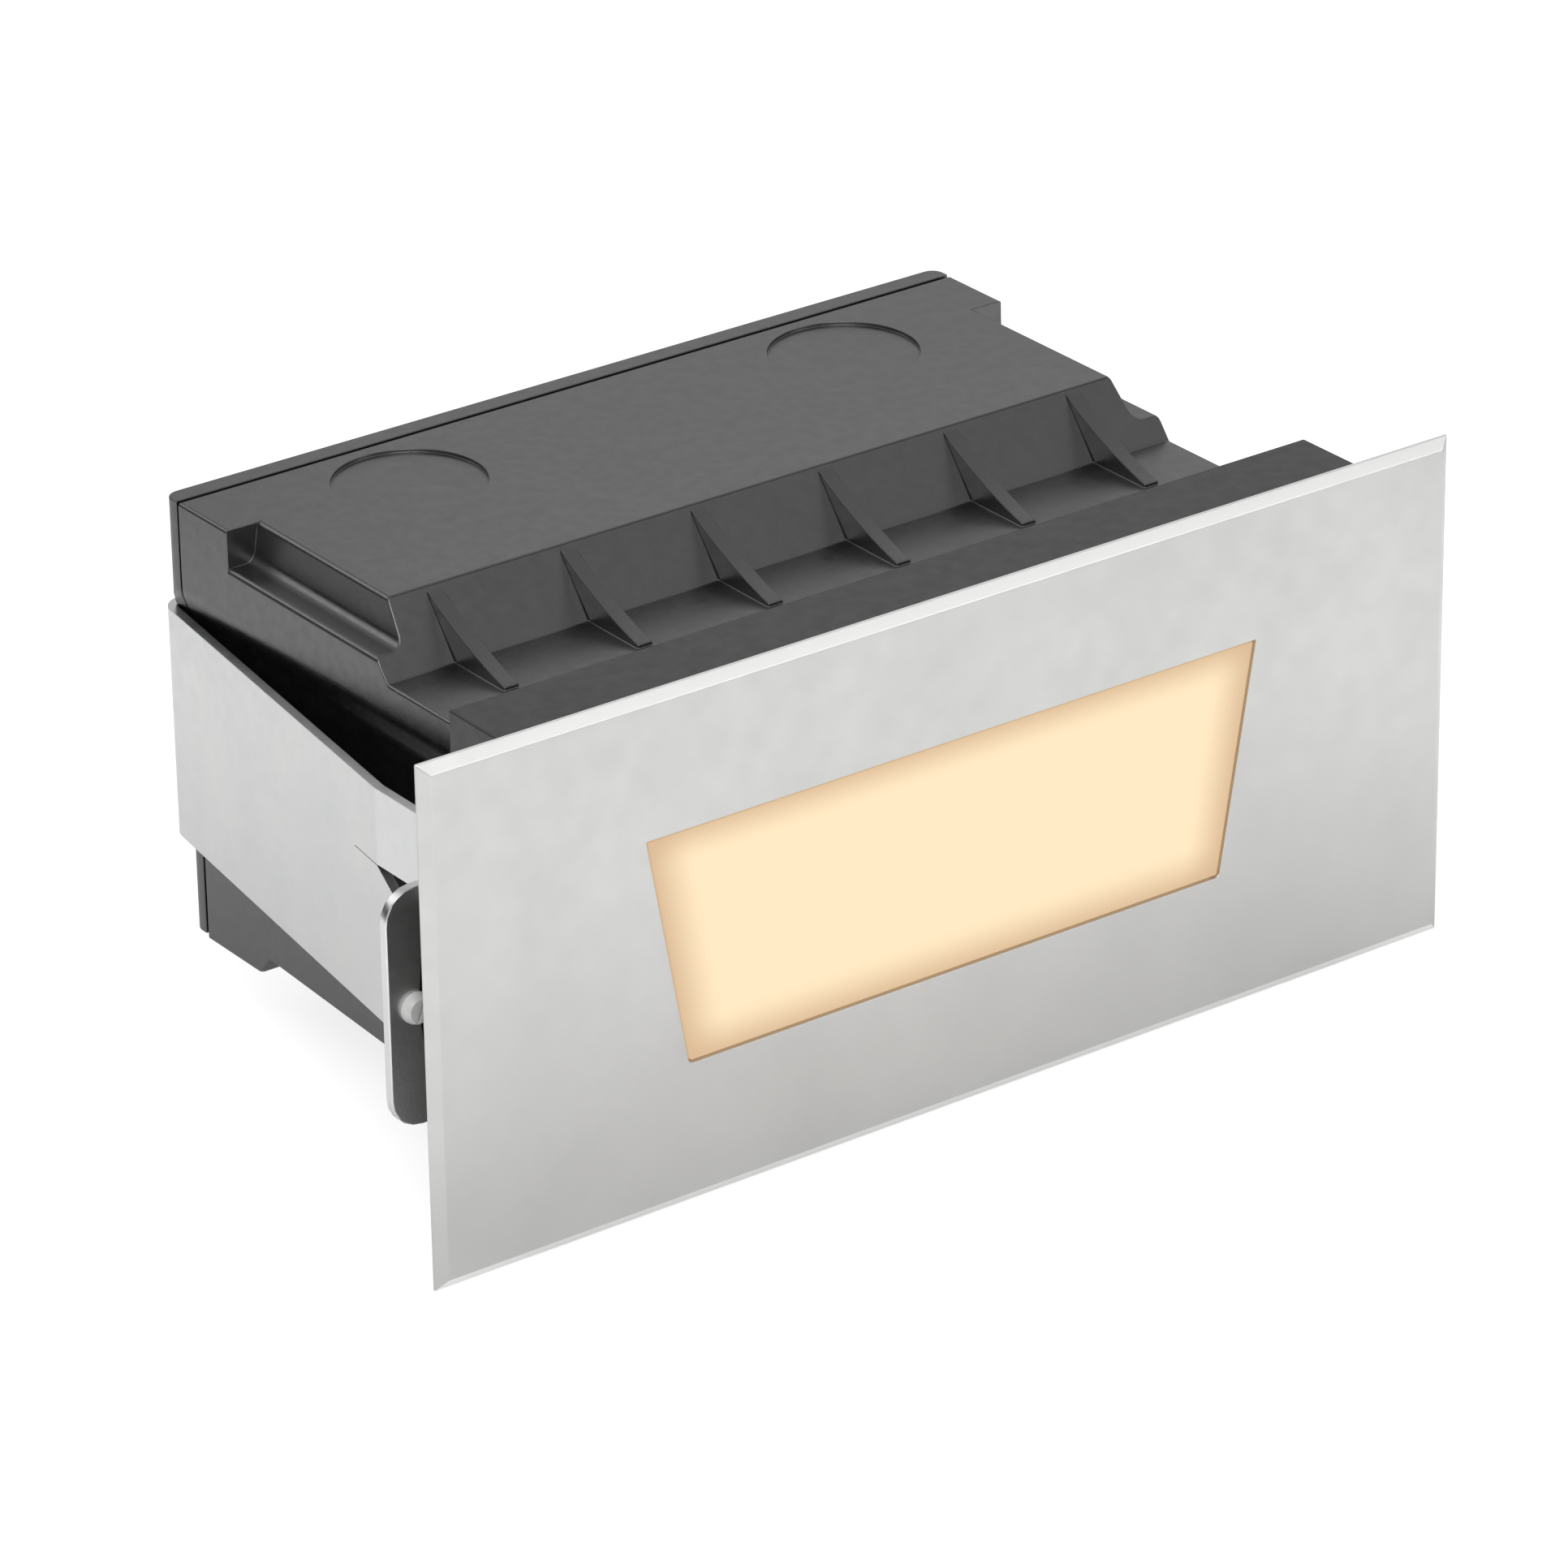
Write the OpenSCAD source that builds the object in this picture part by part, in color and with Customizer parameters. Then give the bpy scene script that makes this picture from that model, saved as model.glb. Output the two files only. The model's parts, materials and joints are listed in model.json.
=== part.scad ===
// Recessed wall light: a bevelled steel faceplate with a trapezoid window, a
// lamp engine behind it, and a moulded back box held by a sprung steel bracket.
// Millimetres. X runs to the right, Y into the wall, Z up. The origin is the
// middle of the faceplate's back, which lies on the face of the wall.

/* [Faceplate] */
// Width of the faceplate
plate_w = 228.6; // [220:0.1:300]
// Height of the faceplate
plate_h = 101.6; // [100:0.1:140]
// Thickness of the faceplate
plate_t = 2; // [1.6:0.1:4]
// Square edge left behind the bevel
plate_edge = 0.5; // [0.3:0.1:1]
// Width of the bevel round the front
bevel_w = 2.1; // [0.5:0.1:4]
// Width of the window along its top
window_top_w = 136.4; // [100:0.1:140]
// Width of the window along its bottom
window_bottom_w = 120.2; // [90:0.1:130]
// Height of the window
window_h = 45.8; // [30:0.1:47]
// Radius of the window's bottom corners
window_corner_r = 1.2; // [0.5:0.1:3]
// Diameter of the snap studs on the back
stud_d = 4; // [3:0.1:5]
// Distance of the studs from the collar's sides
stud_inset = 8.5; // [8:0.1:10]

/* [Lens] */
// Gap between the lens and the window
lens_gap = 0.4; // [0.3:0.05:0.8]
// How far the lens lies behind the plate's face
lens_recess = 0.3; // [0.1:0.05:1]
// Thickness of the lens
lens_t = 2.5; // [2:0.1:4]
// Width of the lip that the bezel clamps
lens_lip = 2; // [1.5:0.1:3]
// Thickness of the lens gasket
lens_gasket_t = 1; // [0.6:0.1:2]
// Thickness of the bezel
bezel_t = 2; // [1.5:0.1:3]

/* [Collar] */
// Width of the collar
collar_w = 190.6; // [188:0.1:200]
// Height of the collar
collar_h = 97.8; // [94:0.1:100]
// Depth of the collar
collar_depth = 14.7; // [13:0.1:20]
// Wall of the collar
collar_wall = 2.5; // [2:0.1:4]
// Gap behind the plate, filled by its gasket
plate_standoff = 3; // [2.5:0.1:5]

/* [Back box] */
// Width of the back box
box_w = 176; // [172:0.1:180]
// Depth of the back box behind the collar
box_depth = 102.5; // [98:0.1:130]
// Height of the deck above the plate's middle
deck_z = 52; // [48:0.1:60]
// Height of the shelf in front of the deck
shelf_z = 40.4; // [39:0.1:42]
// Depth of the box below the plate's middle
floor_drop = 37.2; // [36:0.1:45]
// Rise of the underside towards the foot rail
floor_lift = 3.9; // [2:0.1:5]
// Length of the foot rail at the rear
foot_len = 23; // [18:0.1:30]
// Wall of the back box
box_wall = 3; // [2:0.1:4]
// Length of the shelf
shelf_len = 30.3; // [26:0.1:36]
// How far the deck's front face leans back
face_lean = 9.5; // [4:0.1:14]
// Depth that the lower sides are drawn in
side_set = 1.9; // [1:0.1:3]
// Width of the side ledges
ledge_w = 5.6; // [4:0.1:7]
// Depth of the side ledges below the deck
ledge_drop = 7.6; // [5:0.1:9]
// Distance from the rear face to the ledge ends
ledge_end = 21; // [15:0.1:30]
// Gussets between shelf and deck
rib_count = 6; // [2:1:7]
// Spacing of the gussets
rib_pitch = 28.7; // [24:0.1:30]
// Thickness of the gussets
rib_t = 3.2; // [2:0.1:5]
// Length of the gussets along the shelf
rib_reach = 15; // [8:0.1:20]
// Diameter of the knockouts
knockout_d = 28.9; // [20:0.1:34]
// Distance between the knockouts
knockout_pitch = 98.6; // [70:0.1:105]
// Distance from the rear face to the knockouts
knockout_back = 22.4; // [20:0.1:30]
// Thickness of the rear cover
cover_t = 4.2; // [3:0.1:6]

/* [Spring bracket] */
// Thickness of the bracket's steel
sheet = 1.9; // [1.5:0.1:2.5]
// Height of the bracket
strap_h = 46; // [42:0.1:50]
// Height of the bracket's lower edge
strap_z = -16; // [-20:0.1:-12]
// Angle by which the arms stand out
flare = 8.1; // [5:0.1:9]
// Radius inside the rear bends
bend_r = 3; // [2:0.1:4]
// Height of the slit that parts tab and ear
slit_z = 15; // [12:0.1:18]
// Height of the ears
ear_h = 46.1; // [40:0.1:48]
// Height of the ears' middle
ear_z = -2.2; // [-4:0.1:0]
// Width of the ears beyond the arms' front bends
ear_w = 10.4; // [8:0.1:14]
// Distance of the ears behind the plate
ear_back = 12; // [10:0.1:16]
// Diameter of the ear screws
ear_screw_d = 3; // [3:0.1:5]

/* [Lamp engine] */
// Depth of the engine housing
housing_depth = 39.1; // [36:0.1:41]
// Wall of the engine housing
housing_wall = 2.2; // [2:0.1:3]
// Width of the circuit board
board_w = 124; // [110:0.1:128]
// Height of the circuit board
board_h = 20; // [16:0.1:26]
// Chips in a row
chip_count = 12; // [6:1:16]
// Fins on the heat sink
fin_count = 13; // [5:1:17]
// Height of the fins
fin_h = 12; // [6:0.1:13]

/* [Driver] */
// Length of the driver case
driver_w = 100; // [80:0.1:104]
// Depth of the driver case
driver_d = 38; // [34:0.1:40]
// Height of the driver case
driver_h = 20; // [16:0.1:22]

/* [Hidden] */

$fn = 48;
corner_steps = 5;
least_r = 0.3;
// Overrun of cuts, and overlap of joined forms
cut = 1;
// Gap between pieces that move past each other
slide_gap = 0.5;
rest_gap = 0.3;
// Play on the diameter of a screw, stud or pin in its hole
play = 0.16;
// Gap round pieces that drop into a seat
seat_gap = 0.3;

steel_colour = "#CFCFCD";
black_colour = "#3A3A3B";
rubber_colour = "#1E1E1E";
zinc_colour = "#D9D9D6";

// Screws
screw_d = 3;
head_d = 5.6;
head_h = 1.8;
screw_len = 12;

// Collar and its fixings
collar_y = plate_standoff;
collar_back = collar_y + collar_depth;
gasket_t = 0.8;
gasket_inset = 1.2;
stud_x = collar_w/2 - stud_inset;
stud_z = collar_h/2 - stud_inset;
grommet_wall = 1.8;
grommet_t = 4;
grommet_flange = 1;
grommet_dip = 3;
grommet_y = collar_y + grommet_dip;
grommet_d = stud_d + 2*grommet_wall;
stud_boss_wall = 1.8;
stud_boss_d = grommet_d + 2*stud_boss_wall;

// Back box, front to back
box_y = collar_back + gasket_t;
rear_y = collar_back + box_depth;
cover_y = rear_y - cover_t;
seam_t = 0.6;
seam_inset = 1.4;
box_end = cover_y - seam_t;
face_y = collar_back + shelf_len;
deck_y = face_y + face_lean;
foot_y = rear_y - foot_len;
foot_z = -floor_drop;
underside_z = foot_z + floor_lift;
low_w = box_w - 2*side_set;
set_drop = 18.2;
set_clear = 3.8;
set_z = max(deck_z - set_drop, strap_z + strap_h + set_clear);
set_rise = 5.4;
set_r = 8;
ledge_z = deck_z - ledge_drop;
ledge_cove_r = 2.4;
ledge_edge_r = 1;
ledge_lean = 1.2;
deck_edge_r = 0.9;
foot_r = 3;
rear_r = 2.6;
knockout_dip = 0.7;
knockout_y = rear_y - knockout_back;
lean_angle = atan(face_lean/(deck_z - shelf_z));
lean_wall = box_wall/cos(lean_angle);
rib_drop = 0.6;
rib_nose = 0.7;
rib_sag = 1.2;
boss_d = 8;
boss_sink = 0.5;
front_boss_len = 20;
rear_boss_len = 20;
inner_top = shelf_z - box_wall;
inner_floor = underside_z + box_wall;
boss_x = low_w/2 - box_wall - boss_d/2 + boss_sink;
boss_top_z = inner_top - boss_d/2 + boss_sink;
boss_low_z = foot_z + box_wall + boss_d/2 - boss_sink;
cover_boss_x = box_w/2 - ledge_w - ledge_lean - box_wall - boss_d/2 + boss_sink;
cover_boss_top_z = deck_z - box_wall - boss_d/2 + boss_sink;
cover_boss_low_z = inner_floor + boss_d/2 - boss_sink;

// Lamp engine, front to back
lens_y = lens_recess - plate_t;
bezel_y = 0.9;
lip_y = bezel_y + bezel_t;
lens_gasket_y = lip_y + lens_t;
seat_y = lens_gasket_y + lens_gasket_t;
seat_t = 2.5;
aperture_w = window_top_w;
aperture_h = window_h;
pocket_w = aperture_w + 2*lens_lip + 2*seat_gap;
pocket_h = aperture_h + 2*lens_lip + 2*seat_gap;
housing_w = pocket_w + 2*housing_wall;
housing_h = pocket_h + 2*housing_wall;
housing_y = lip_y;
housing_back = housing_y + housing_depth;
housing_floor_t = 3;
opening_w = housing_w + 2*slide_gap;
opening_h = housing_h + 2*slide_gap;
flange_t = 3;
flange_y = collar_back - collar_wall - flange_t;
flange_lip_w = 1.8;
flange_lip_h = 5.4;
flange_w = opening_w + 2*flange_lip_w;
flange_h = opening_h + 2*flange_lip_h;
engine_screw_x = 55;
engine_screw_z = opening_h/2 + flange_lip_h/2;
engine_boss_d = 5.2;
engine_boss_len = 7;
boss_floor = 1;
screw_tip_gap = 1;
pad_t = 1.9;
board_t = 1.6;
chip_t = 0.8;
chip_s = 3.2;
board_back = housing_back - housing_floor_t - pad_t;
board_y = board_back - board_t;
chip_rows = 2;
chip_row_gap = 7;
chip_margin = 14;
chip_span = board_w - 2*chip_margin;
board_screw_inset = 4.5;
board_screw_x = board_w/2 - board_screw_inset;
reflector_y = seat_y + seat_t;
reflector_wall = 1.4;
reflector_flange_t = 1.5;
throat_side = 10.5;
throat_top = 1.5;
reflector_throat_w = board_w - 2*throat_side;
reflector_throat_h = board_h - 2*throat_top;
reflector_end = board_y - rest_gap;
sink_inset = 2;
sink_w = board_w - 2*sink_inset;
sink_h = 37;
sink_z = -22;
sink_base_t = 3;
fin_t = 1.5;
grommet_hole_d = 7;
wire_inset = 1.6;
wire_z = pocket_h/2 - grommet_hole_d/2 - wire_inset;
wire_bore_d = 4.4;

// Bracket, its arms worked out from the rear bend forwards
lap = 0.02;
strap_gap = 0.2;
strap_y = rear_y + strap_gap;
strap_top = strap_z + strap_h;
strap_mid = strap_z + strap_h/2;
cover_step_z = max(strap_top, set_z - set_rise);
leg_len = 14;
split_x = low_w/2 - leg_len;
side_gap = 1.1;
strap_side = low_w/2 + side_gap;
arm_turn = 90 - flare;
bend_x = strap_side - bend_r*sin(arm_turn);
arm_y = strap_y - bend_r + bend_r*cos(arm_turn);
kink_y = 33;
arm_run = (arm_y - kink_y)/cos(flare);
kink_x = strap_side + arm_run*sin(flare);
tab_front = 3.6;
slit_t = 0.16;
slit_len = 8.8;
notch_len = 6;
notch_drop = 3.1;
ear_bend_r = 1.2;
ear_relief = 0.5;
bend_steps = 8;
ear_bend_y = ear_back + (sheet + ear_bend_r)*(1 - cos(arm_turn));
ear_run = (kink_y - ear_bend_y)/cos(flare);
ear_root_x = kink_x + ear_run*sin(flare) + (sheet + ear_bend_r)*sin(arm_turn) - sheet;
ear_x = ear_root_x + ear_w;
ear_corner_r = 6;
ear_head_lip = 1.5;
ear_head_d = ear_screw_d + 2*ear_head_lip;
ear_head_h = 1.9;
ear_screw_x = ear_root_x + sheet + ear_head_d/2;
nut_wall = 1.25;
nut_w = ear_screw_d + 2*nut_wall;
nut_t = 2.4;
nut_end = 0.8;
nut_sides = 6;
strap_screw_x = 40;
strap_boss_len = 7;
sunk_h = 0.9;

// Driver and terminals
sink_back = housing_back + sink_base_t + fin_h;
driver_front_share = 0.31;
driver_y = sink_back + (cover_y - sink_back - driver_d)*driver_front_share;
driver_z = inner_floor;
driver_wall = 1.6;
driver_floor_t = 2;
driver_gap = 0.2;
driver_lug = 9;
driver_lug_t = 2.4;
driver_boss_h = 5;
driver_mid = driver_y + driver_d/2;
driver_screw_x = driver_w/2 + driver_lug/2;
driver_board_t = 1.6;
driver_post_h = 3;
driver_post_d = 4;
coil_s = 16;
coil_h = 10;
capacitor_d = 9;
capacitor_count = 2;
capacitor_pitch = 12;
post_share = 1/3;
coil_share = 1/4;
terminal_w = 22;
terminal_d = 16;
terminal_h = 13;
terminal_x = low_w/2 - box_wall - terminal_w/2 - seat_gap;
terminal_gap = 0.5;
terminal_y = driver_mid - driver_lug/2 - terminal_gap - terminal_d;
pole_count = 3;
pole_d = 4;
entry_share = 1/3;
earth_gap = 1;
earth_x = -(driver_screw_x + driver_lug/2 + earth_gap + boss_d/2);
earth_boss_h = 6;

function unit(v) = v/norm(v);
function flat(p) = [p.x, p.y];

// Points of the arc that rounds corner b between a and c
function corner_arc(a, b, c, r) = r <= 0 ? [b] :
    let(u = unit(a - b), v = unit(c - b), half = acos(u*v)/2,
        centre = b + unit(u + v)*r/sin(half),
        from = b + u*r/tan(half) - centre, to = b + v*r/tan(half) - centre,
        start = atan2(from.y, from.x),
        sweep = (atan2(to.y, to.x) - start + 540) % 360 - 180)
    [for (i = [0:corner_steps])
        centre + r*[cos(start + sweep*i/corner_steps), sin(start + sweep*i/corner_steps)]];

// Outline through points [x, y, radius]
function rounded(p) = [for (i = [0:len(p) - 1])
    each corner_arc(flat(p[(i + len(p) - 1) % len(p)]), flat(p[i]), flat(p[(i + 1) % len(p)]), p[i].z)];

// Quadratic curve from a to c, drawn towards b
function curve(a, b, c, steps) = [for (i = [0:steps])
    let(s = i/steps) a*(1 - s)^2 + b*2*s*(1 - s) + c*s^2];

// Place on the deck's leaning front face at height z
function lean_y(z) = face_y + (z - shelf_z)*face_lean/(deck_z - shelf_z);

// Extrudes an x-z outline from y0 towards the rear
module back_from(y0, depth) translate([0, y0 + depth, 0]) rotate([90, 0, 0]) linear_extrude(depth) children();

// Extrudes a y-z outline over a width centred on x = 0
module across(width) translate([-width/2, 0, 0]) rotate([90, 0, 90]) linear_extrude(width) children();

// A round bar from y0 towards the rear
module bar(x, z, y0, length, d) translate([x, y0, z]) rotate([-90, 0, 0]) cylinder(d = d, h = length);

// A pan-head screw whose head's underside lies at y0
module pan_screw(x, z, y0, length, d, hd, hh) {
    bar(x, z, y0, length, d);
    bar(x, z, y0 - hh, hh, hd);
}

module frame_outline(w, h, wall) difference() {
    square([w, h], center = true);
    square([w - 2*wall, h - 2*wall], center = true);
}

module mirrored_x() for (side = [0, 1]) mirror([side, 0, 0]) children();

module four_corners(x, z) for (sx = [-1, 1], sz = [-1, 1]) translate([sx*x, 0, sz*z]) children();

// Faceplate

// The window's outline, grown by g all round
module window_outline(g) {
    slant = (window_top_w - window_bottom_w)/2/window_h;
    top = window_top_w/2 + g + g*slant;
    low = window_bottom_w/2 + g - g*slant;
    r = max(window_corner_r + g, least_r);
    polygon(rounded([[-low, -window_h/2 - g, r], [low, -window_h/2 - g, r],
        [top, window_h/2 + g, 0], [-top, window_h/2 + g, 0]]));
}

// Section of the plate with its bevel, over a width w
module plate_section(w) polygon([[-w/2, 0], [w/2, 0], [w/2, -plate_edge],
    [w/2 - bevel_w, -plate_t], [-w/2 + bevel_w, -plate_t], [-w/2, -plate_edge]]);

module faceplate() color(steel_colour) difference() {
    intersection() {
        translate([0, 0, -plate_h/2]) linear_extrude(plate_h) plate_section(plate_w);
        rotate([0, 90, 0]) translate([0, 0, -plate_w/2]) linear_extrude(plate_w) plate_section(plate_h);
    }
    back_from(-plate_t - cut, plate_t + 2*cut) window_outline(0);
}

module faceplate_studs() color(zinc_colour) four_corners(stud_x, stud_z) {
    bar(0, 0, 0, grommet_y + grommet_t, stud_d);
    translate([0, grommet_y + grommet_t, 0]) sphere(d = stud_d);
}

module stud_grommets() color(rubber_colour) four_corners(stud_x, stud_z) difference() {
    union() {
        bar(0, 0, grommet_y, grommet_t, grommet_d);
        bar(0, 0, grommet_y - grommet_flange, grommet_flange, grommet_d + stud_boss_wall);
    }
    bar(0, 0, grommet_y - grommet_flange - cut, grommet_t + grommet_flange + 2*cut, stud_d + play);
}

module plate_gasket() color(rubber_colour) back_from(rest_gap, collar_y - rest_gap)
    frame_outline(collar_w - rest_gap, collar_h - rest_gap, collar_wall - rest_gap/2);

// Collar

module collar() color(black_colour) difference() {
    union() {
        back_from(collar_y, collar_depth) frame_outline(collar_w, collar_h, collar_wall);
        back_from(collar_back - collar_wall, collar_wall) difference() {
            square([collar_w - collar_wall, collar_h - collar_wall], center = true);
            square([opening_w, opening_h], center = true);
        }
        four_corners(stud_x, stud_z)
            bar(0, 0, grommet_y, collar_back - collar_wall/2 - grommet_y, stud_boss_d);
        four_corners(engine_screw_x, engine_screw_z)
            bar(0, 0, collar_back - collar_wall/2, engine_boss_len + collar_wall/2, engine_boss_d);
    }
    four_corners(stud_x, stud_z) {
        bar(0, 0, grommet_y - cut, grommet_t + cut, grommet_d);
        bar(0, 0, grommet_y, grommet_t + stud_d/2 + cut, stud_d + 2*rest_gap);
    }
    four_corners(engine_screw_x, engine_screw_z)
        bar(0, 0, collar_back - collar_wall - cut, collar_wall + engine_boss_len - boss_floor + cut,
            screw_d + play);
    for (sx = [-1, 1], z = [boss_top_z, boss_low_z])
        bar(sx*boss_x, z, collar_back - collar_wall - cut, collar_wall + 2*cut, screw_d + play);
}

module collar_screws() color(zinc_colour) for (sx = [-1, 1], z = [boss_top_z, boss_low_z])
    pan_screw(sx*boss_x, z, collar_back - collar_wall, screw_len, screw_d, head_d, head_h);

// Front rim of the box as a y-plane outline
module box_rim(inset) difference() {
    translate([-low_w/2 + inset, foot_z + inset])
        square([low_w - 2*inset, shelf_z - foot_z - 2*inset]);
    translate([-low_w/2 + box_wall, foot_z + box_wall])
        square([low_w - 2*box_wall, shelf_z - foot_z - 2*box_wall]);
}

module collar_gasket() color(rubber_colour) back_from(collar_back, gasket_t) box_rim(gasket_inset);

// Lens and its clamp

module lens() color("#FFE3BC") {
    back_from(lens_y, lip_y - lens_y + cut) window_outline(-lens_gap);
    back_from(lip_y, lens_t) square([pocket_w - 2*seat_gap, pocket_h - 2*seat_gap], center = true);
}

module lens_gasket() color(rubber_colour) back_from(lens_gasket_y, lens_gasket_t)
    frame_outline(pocket_w - 2*seat_gap, pocket_h - 2*seat_gap, lens_lip);

module lens_bezel() color(black_colour) back_from(bezel_y, bezel_t) difference() {
    square([housing_w, housing_h], center = true);
    window_outline(0);
}

// Lamp engine

module engine_housing() color("#2E2E30") difference() {
    union() {
        back_from(housing_y, housing_depth) square([housing_w, housing_h], center = true);
        back_from(flange_y, flange_t) square([flange_w, flange_h], center = true);
    }
    back_from(housing_y - cut, seat_y - housing_y + cut) square([pocket_w, pocket_h], center = true);
    back_from(seat_y - cut, seat_t + 2*cut) square([aperture_w, aperture_h], center = true);
    back_from(reflector_y, housing_back - housing_floor_t - reflector_y)
        square([pocket_w, pocket_h], center = true);
    four_corners(engine_screw_x, engine_screw_z) bar(0, 0, flange_y - cut, flange_t + 2*cut, screw_d + play);
    for (sx = [-1, 1])
        bar(sx*board_screw_x, 0, housing_back - housing_floor_t - cut, housing_floor_t + 2*cut,
            screw_d + play);
    bar(0, wire_z, housing_back - housing_floor_t - cut, housing_floor_t + 2*cut, grommet_hole_d);
}

// The reflector's funnel, grown by g
module funnel(g) hull() {
    back_from(reflector_y, reflector_flange_t) window_outline(g - reflector_wall);
    back_from(reflector_end - reflector_flange_t, reflector_flange_t)
        square([reflector_throat_w + 2*g, reflector_throat_h + 2*g], center = true);
}

module reflector() color("white") difference() {
    union() {
        funnel(reflector_wall);
        back_from(reflector_y, reflector_flange_t)
            square([pocket_w - 2*seat_gap, pocket_h - 2*seat_gap], center = true);
    }
    hull() {
        back_from(reflector_y - cut, cut) window_outline(-reflector_wall);
        back_from(reflector_end, cut) square([reflector_throat_w, reflector_throat_h], center = true);
    }
}

module board_plate(y0, t) difference() {
    back_from(y0, t) square([board_w, board_h], center = true);
    for (sx = [-1, 1]) bar(sx*board_screw_x, 0, y0 - cut, t + 2*cut, screw_d + play);
}

module thermal_pad() color("#8FA3B5") board_plate(board_back, pad_t);

module led_board() color("#E9ECEA") board_plate(board_y, board_t);

module led_chips() color("#F4D03C") for (i = [0:chip_count - 1], row = [0:chip_rows - 1])
    translate([chip_span*(i/(chip_count - 1) - 1/2), 0, chip_row_gap*(row/(chip_rows - 1) - 1/2)])
        back_from(board_y - chip_t, chip_t) square(chip_s, center = true);

module board_screws() color(zinc_colour) for (sx = [-1, 1])
    pan_screw(sx*board_screw_x, 0, board_y, housing_back + sink_base_t - board_y, screw_d, head_d, head_h);

module heat_sink() color("#9A9DA0") difference() {
    union() {
        back_from(housing_back, sink_base_t) translate([-sink_w/2, sink_z]) square([sink_w, sink_h]);
        for (i = [0:fin_count - 1])
            translate([(sink_w - fin_t)*(i/(fin_count - 1) - 1/2), 0, 0])
                back_from(housing_back, sink_base_t + fin_h)
                    translate([-fin_t/2, sink_z]) square([fin_t, sink_h]);
    }
    for (sx = [-1, 1]) bar(sx*board_screw_x, 0, housing_back - cut, sink_base_t + 2*cut, screw_d + play);
}

module wire_grommet() color(rubber_colour) difference() {
    union() {
        bar(0, wire_z, housing_back - housing_floor_t, housing_floor_t + cut, grommet_hole_d);
        bar(0, wire_z, housing_back, grommet_flange, grommet_hole_d + 2*grommet_flange);
    }
    bar(0, wire_z, housing_back - housing_floor_t - cut, housing_floor_t + 3*cut, wire_bore_d);
}

module engine_screws() color(zinc_colour) four_corners(engine_screw_x, engine_screw_z)
    pan_screw(0, 0, flange_y, flange_t + collar_wall + engine_boss_len - boss_floor - screw_tip_gap,
        screw_d, head_d, head_h);

// Back box

// Side view of the box from its front to y1
module box_side(y0, y1) polygon(rounded([[y0, foot_z, 0], [foot_y - foot_r, underside_z, 0],
    [foot_y, foot_z, foot_r], [y1, foot_z, 0], [y1, deck_z, 0], [deck_y, deck_z, deck_edge_r],
    [face_y, shelf_z, 0], [y0, shelf_z, 0]]));

// Front view of the box, its lower sides drawn in
module box_front() polygon(rounded([[-low_w/2, foot_z - cut, 0], [low_w/2, foot_z - cut, 0],
    [low_w/2, set_z - set_rise, set_r], [box_w/2, set_z, set_r], [box_w/2, deck_z + cut, 0],
    [-box_w/2, deck_z + cut, 0], [-box_w/2, set_z, set_r], [-low_w/2, set_z - set_rise, set_r]]));

// Cross-section of the ledge that is cut out of one side
module ledge_outline() {
    side = box_w/2;
    foot = [side - ledge_w, ledge_z];
    top = [foot.x - ledge_lean, deck_z];
    polygon(concat([[side + cut, ledge_z - ledge_edge_r]],
        corner_arc([side, foot_z], [side, ledge_z], foot, ledge_edge_r),
        corner_arc([side, ledge_z], foot, top, ledge_cove_r),
        corner_arc(foot, top, [0, deck_z], ledge_edge_r),
        [[top.x - ledge_edge_r, deck_z + cut], [side + cut, deck_z + cut]]));
}

// Inside of the box seen from the side
module cavity_side() polygon([[box_y - cut, foot_z + box_wall], [deck_y, inner_floor],
    [box_end + cut, inner_floor], [box_end + cut, deck_z - box_wall],
    [lean_y(deck_z - box_wall) + lean_wall, deck_z - box_wall],
    [lean_y(inner_top) + lean_wall, inner_top], [box_y - cut, inner_top]]);

// Inside of the box seen from the front
module cavity_front() {
    low = low_w/2 - box_wall;
    high = box_w/2 - ledge_w - ledge_lean - box_wall;
    polygon([[-low, foot_z - cut], [low, foot_z - cut], [low, ledge_z - box_wall], [high, ledge_z - box_wall],
        [high, deck_z], [-high, deck_z], [-high, ledge_z - box_wall], [-low, ledge_z - box_wall]]);
}

// One gusset, thick in x, with a hollow curved back
module gusset() {
    top_z = deck_z - rib_drop;
    tip = [face_y - rib_reach, shelf_z + rib_nose];
    top = [lean_y(top_z), top_z];
    across(rib_t) polygon(concat(curve(top, (top + tip)/2 - [rib_sag, 2*rib_sag], tip, 2*corner_steps),
        [[tip.x, shelf_z - rib_drop], [face_y + rib_drop, shelf_z - rib_drop], [top.x + rib_drop, top_z]]));
}

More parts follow.
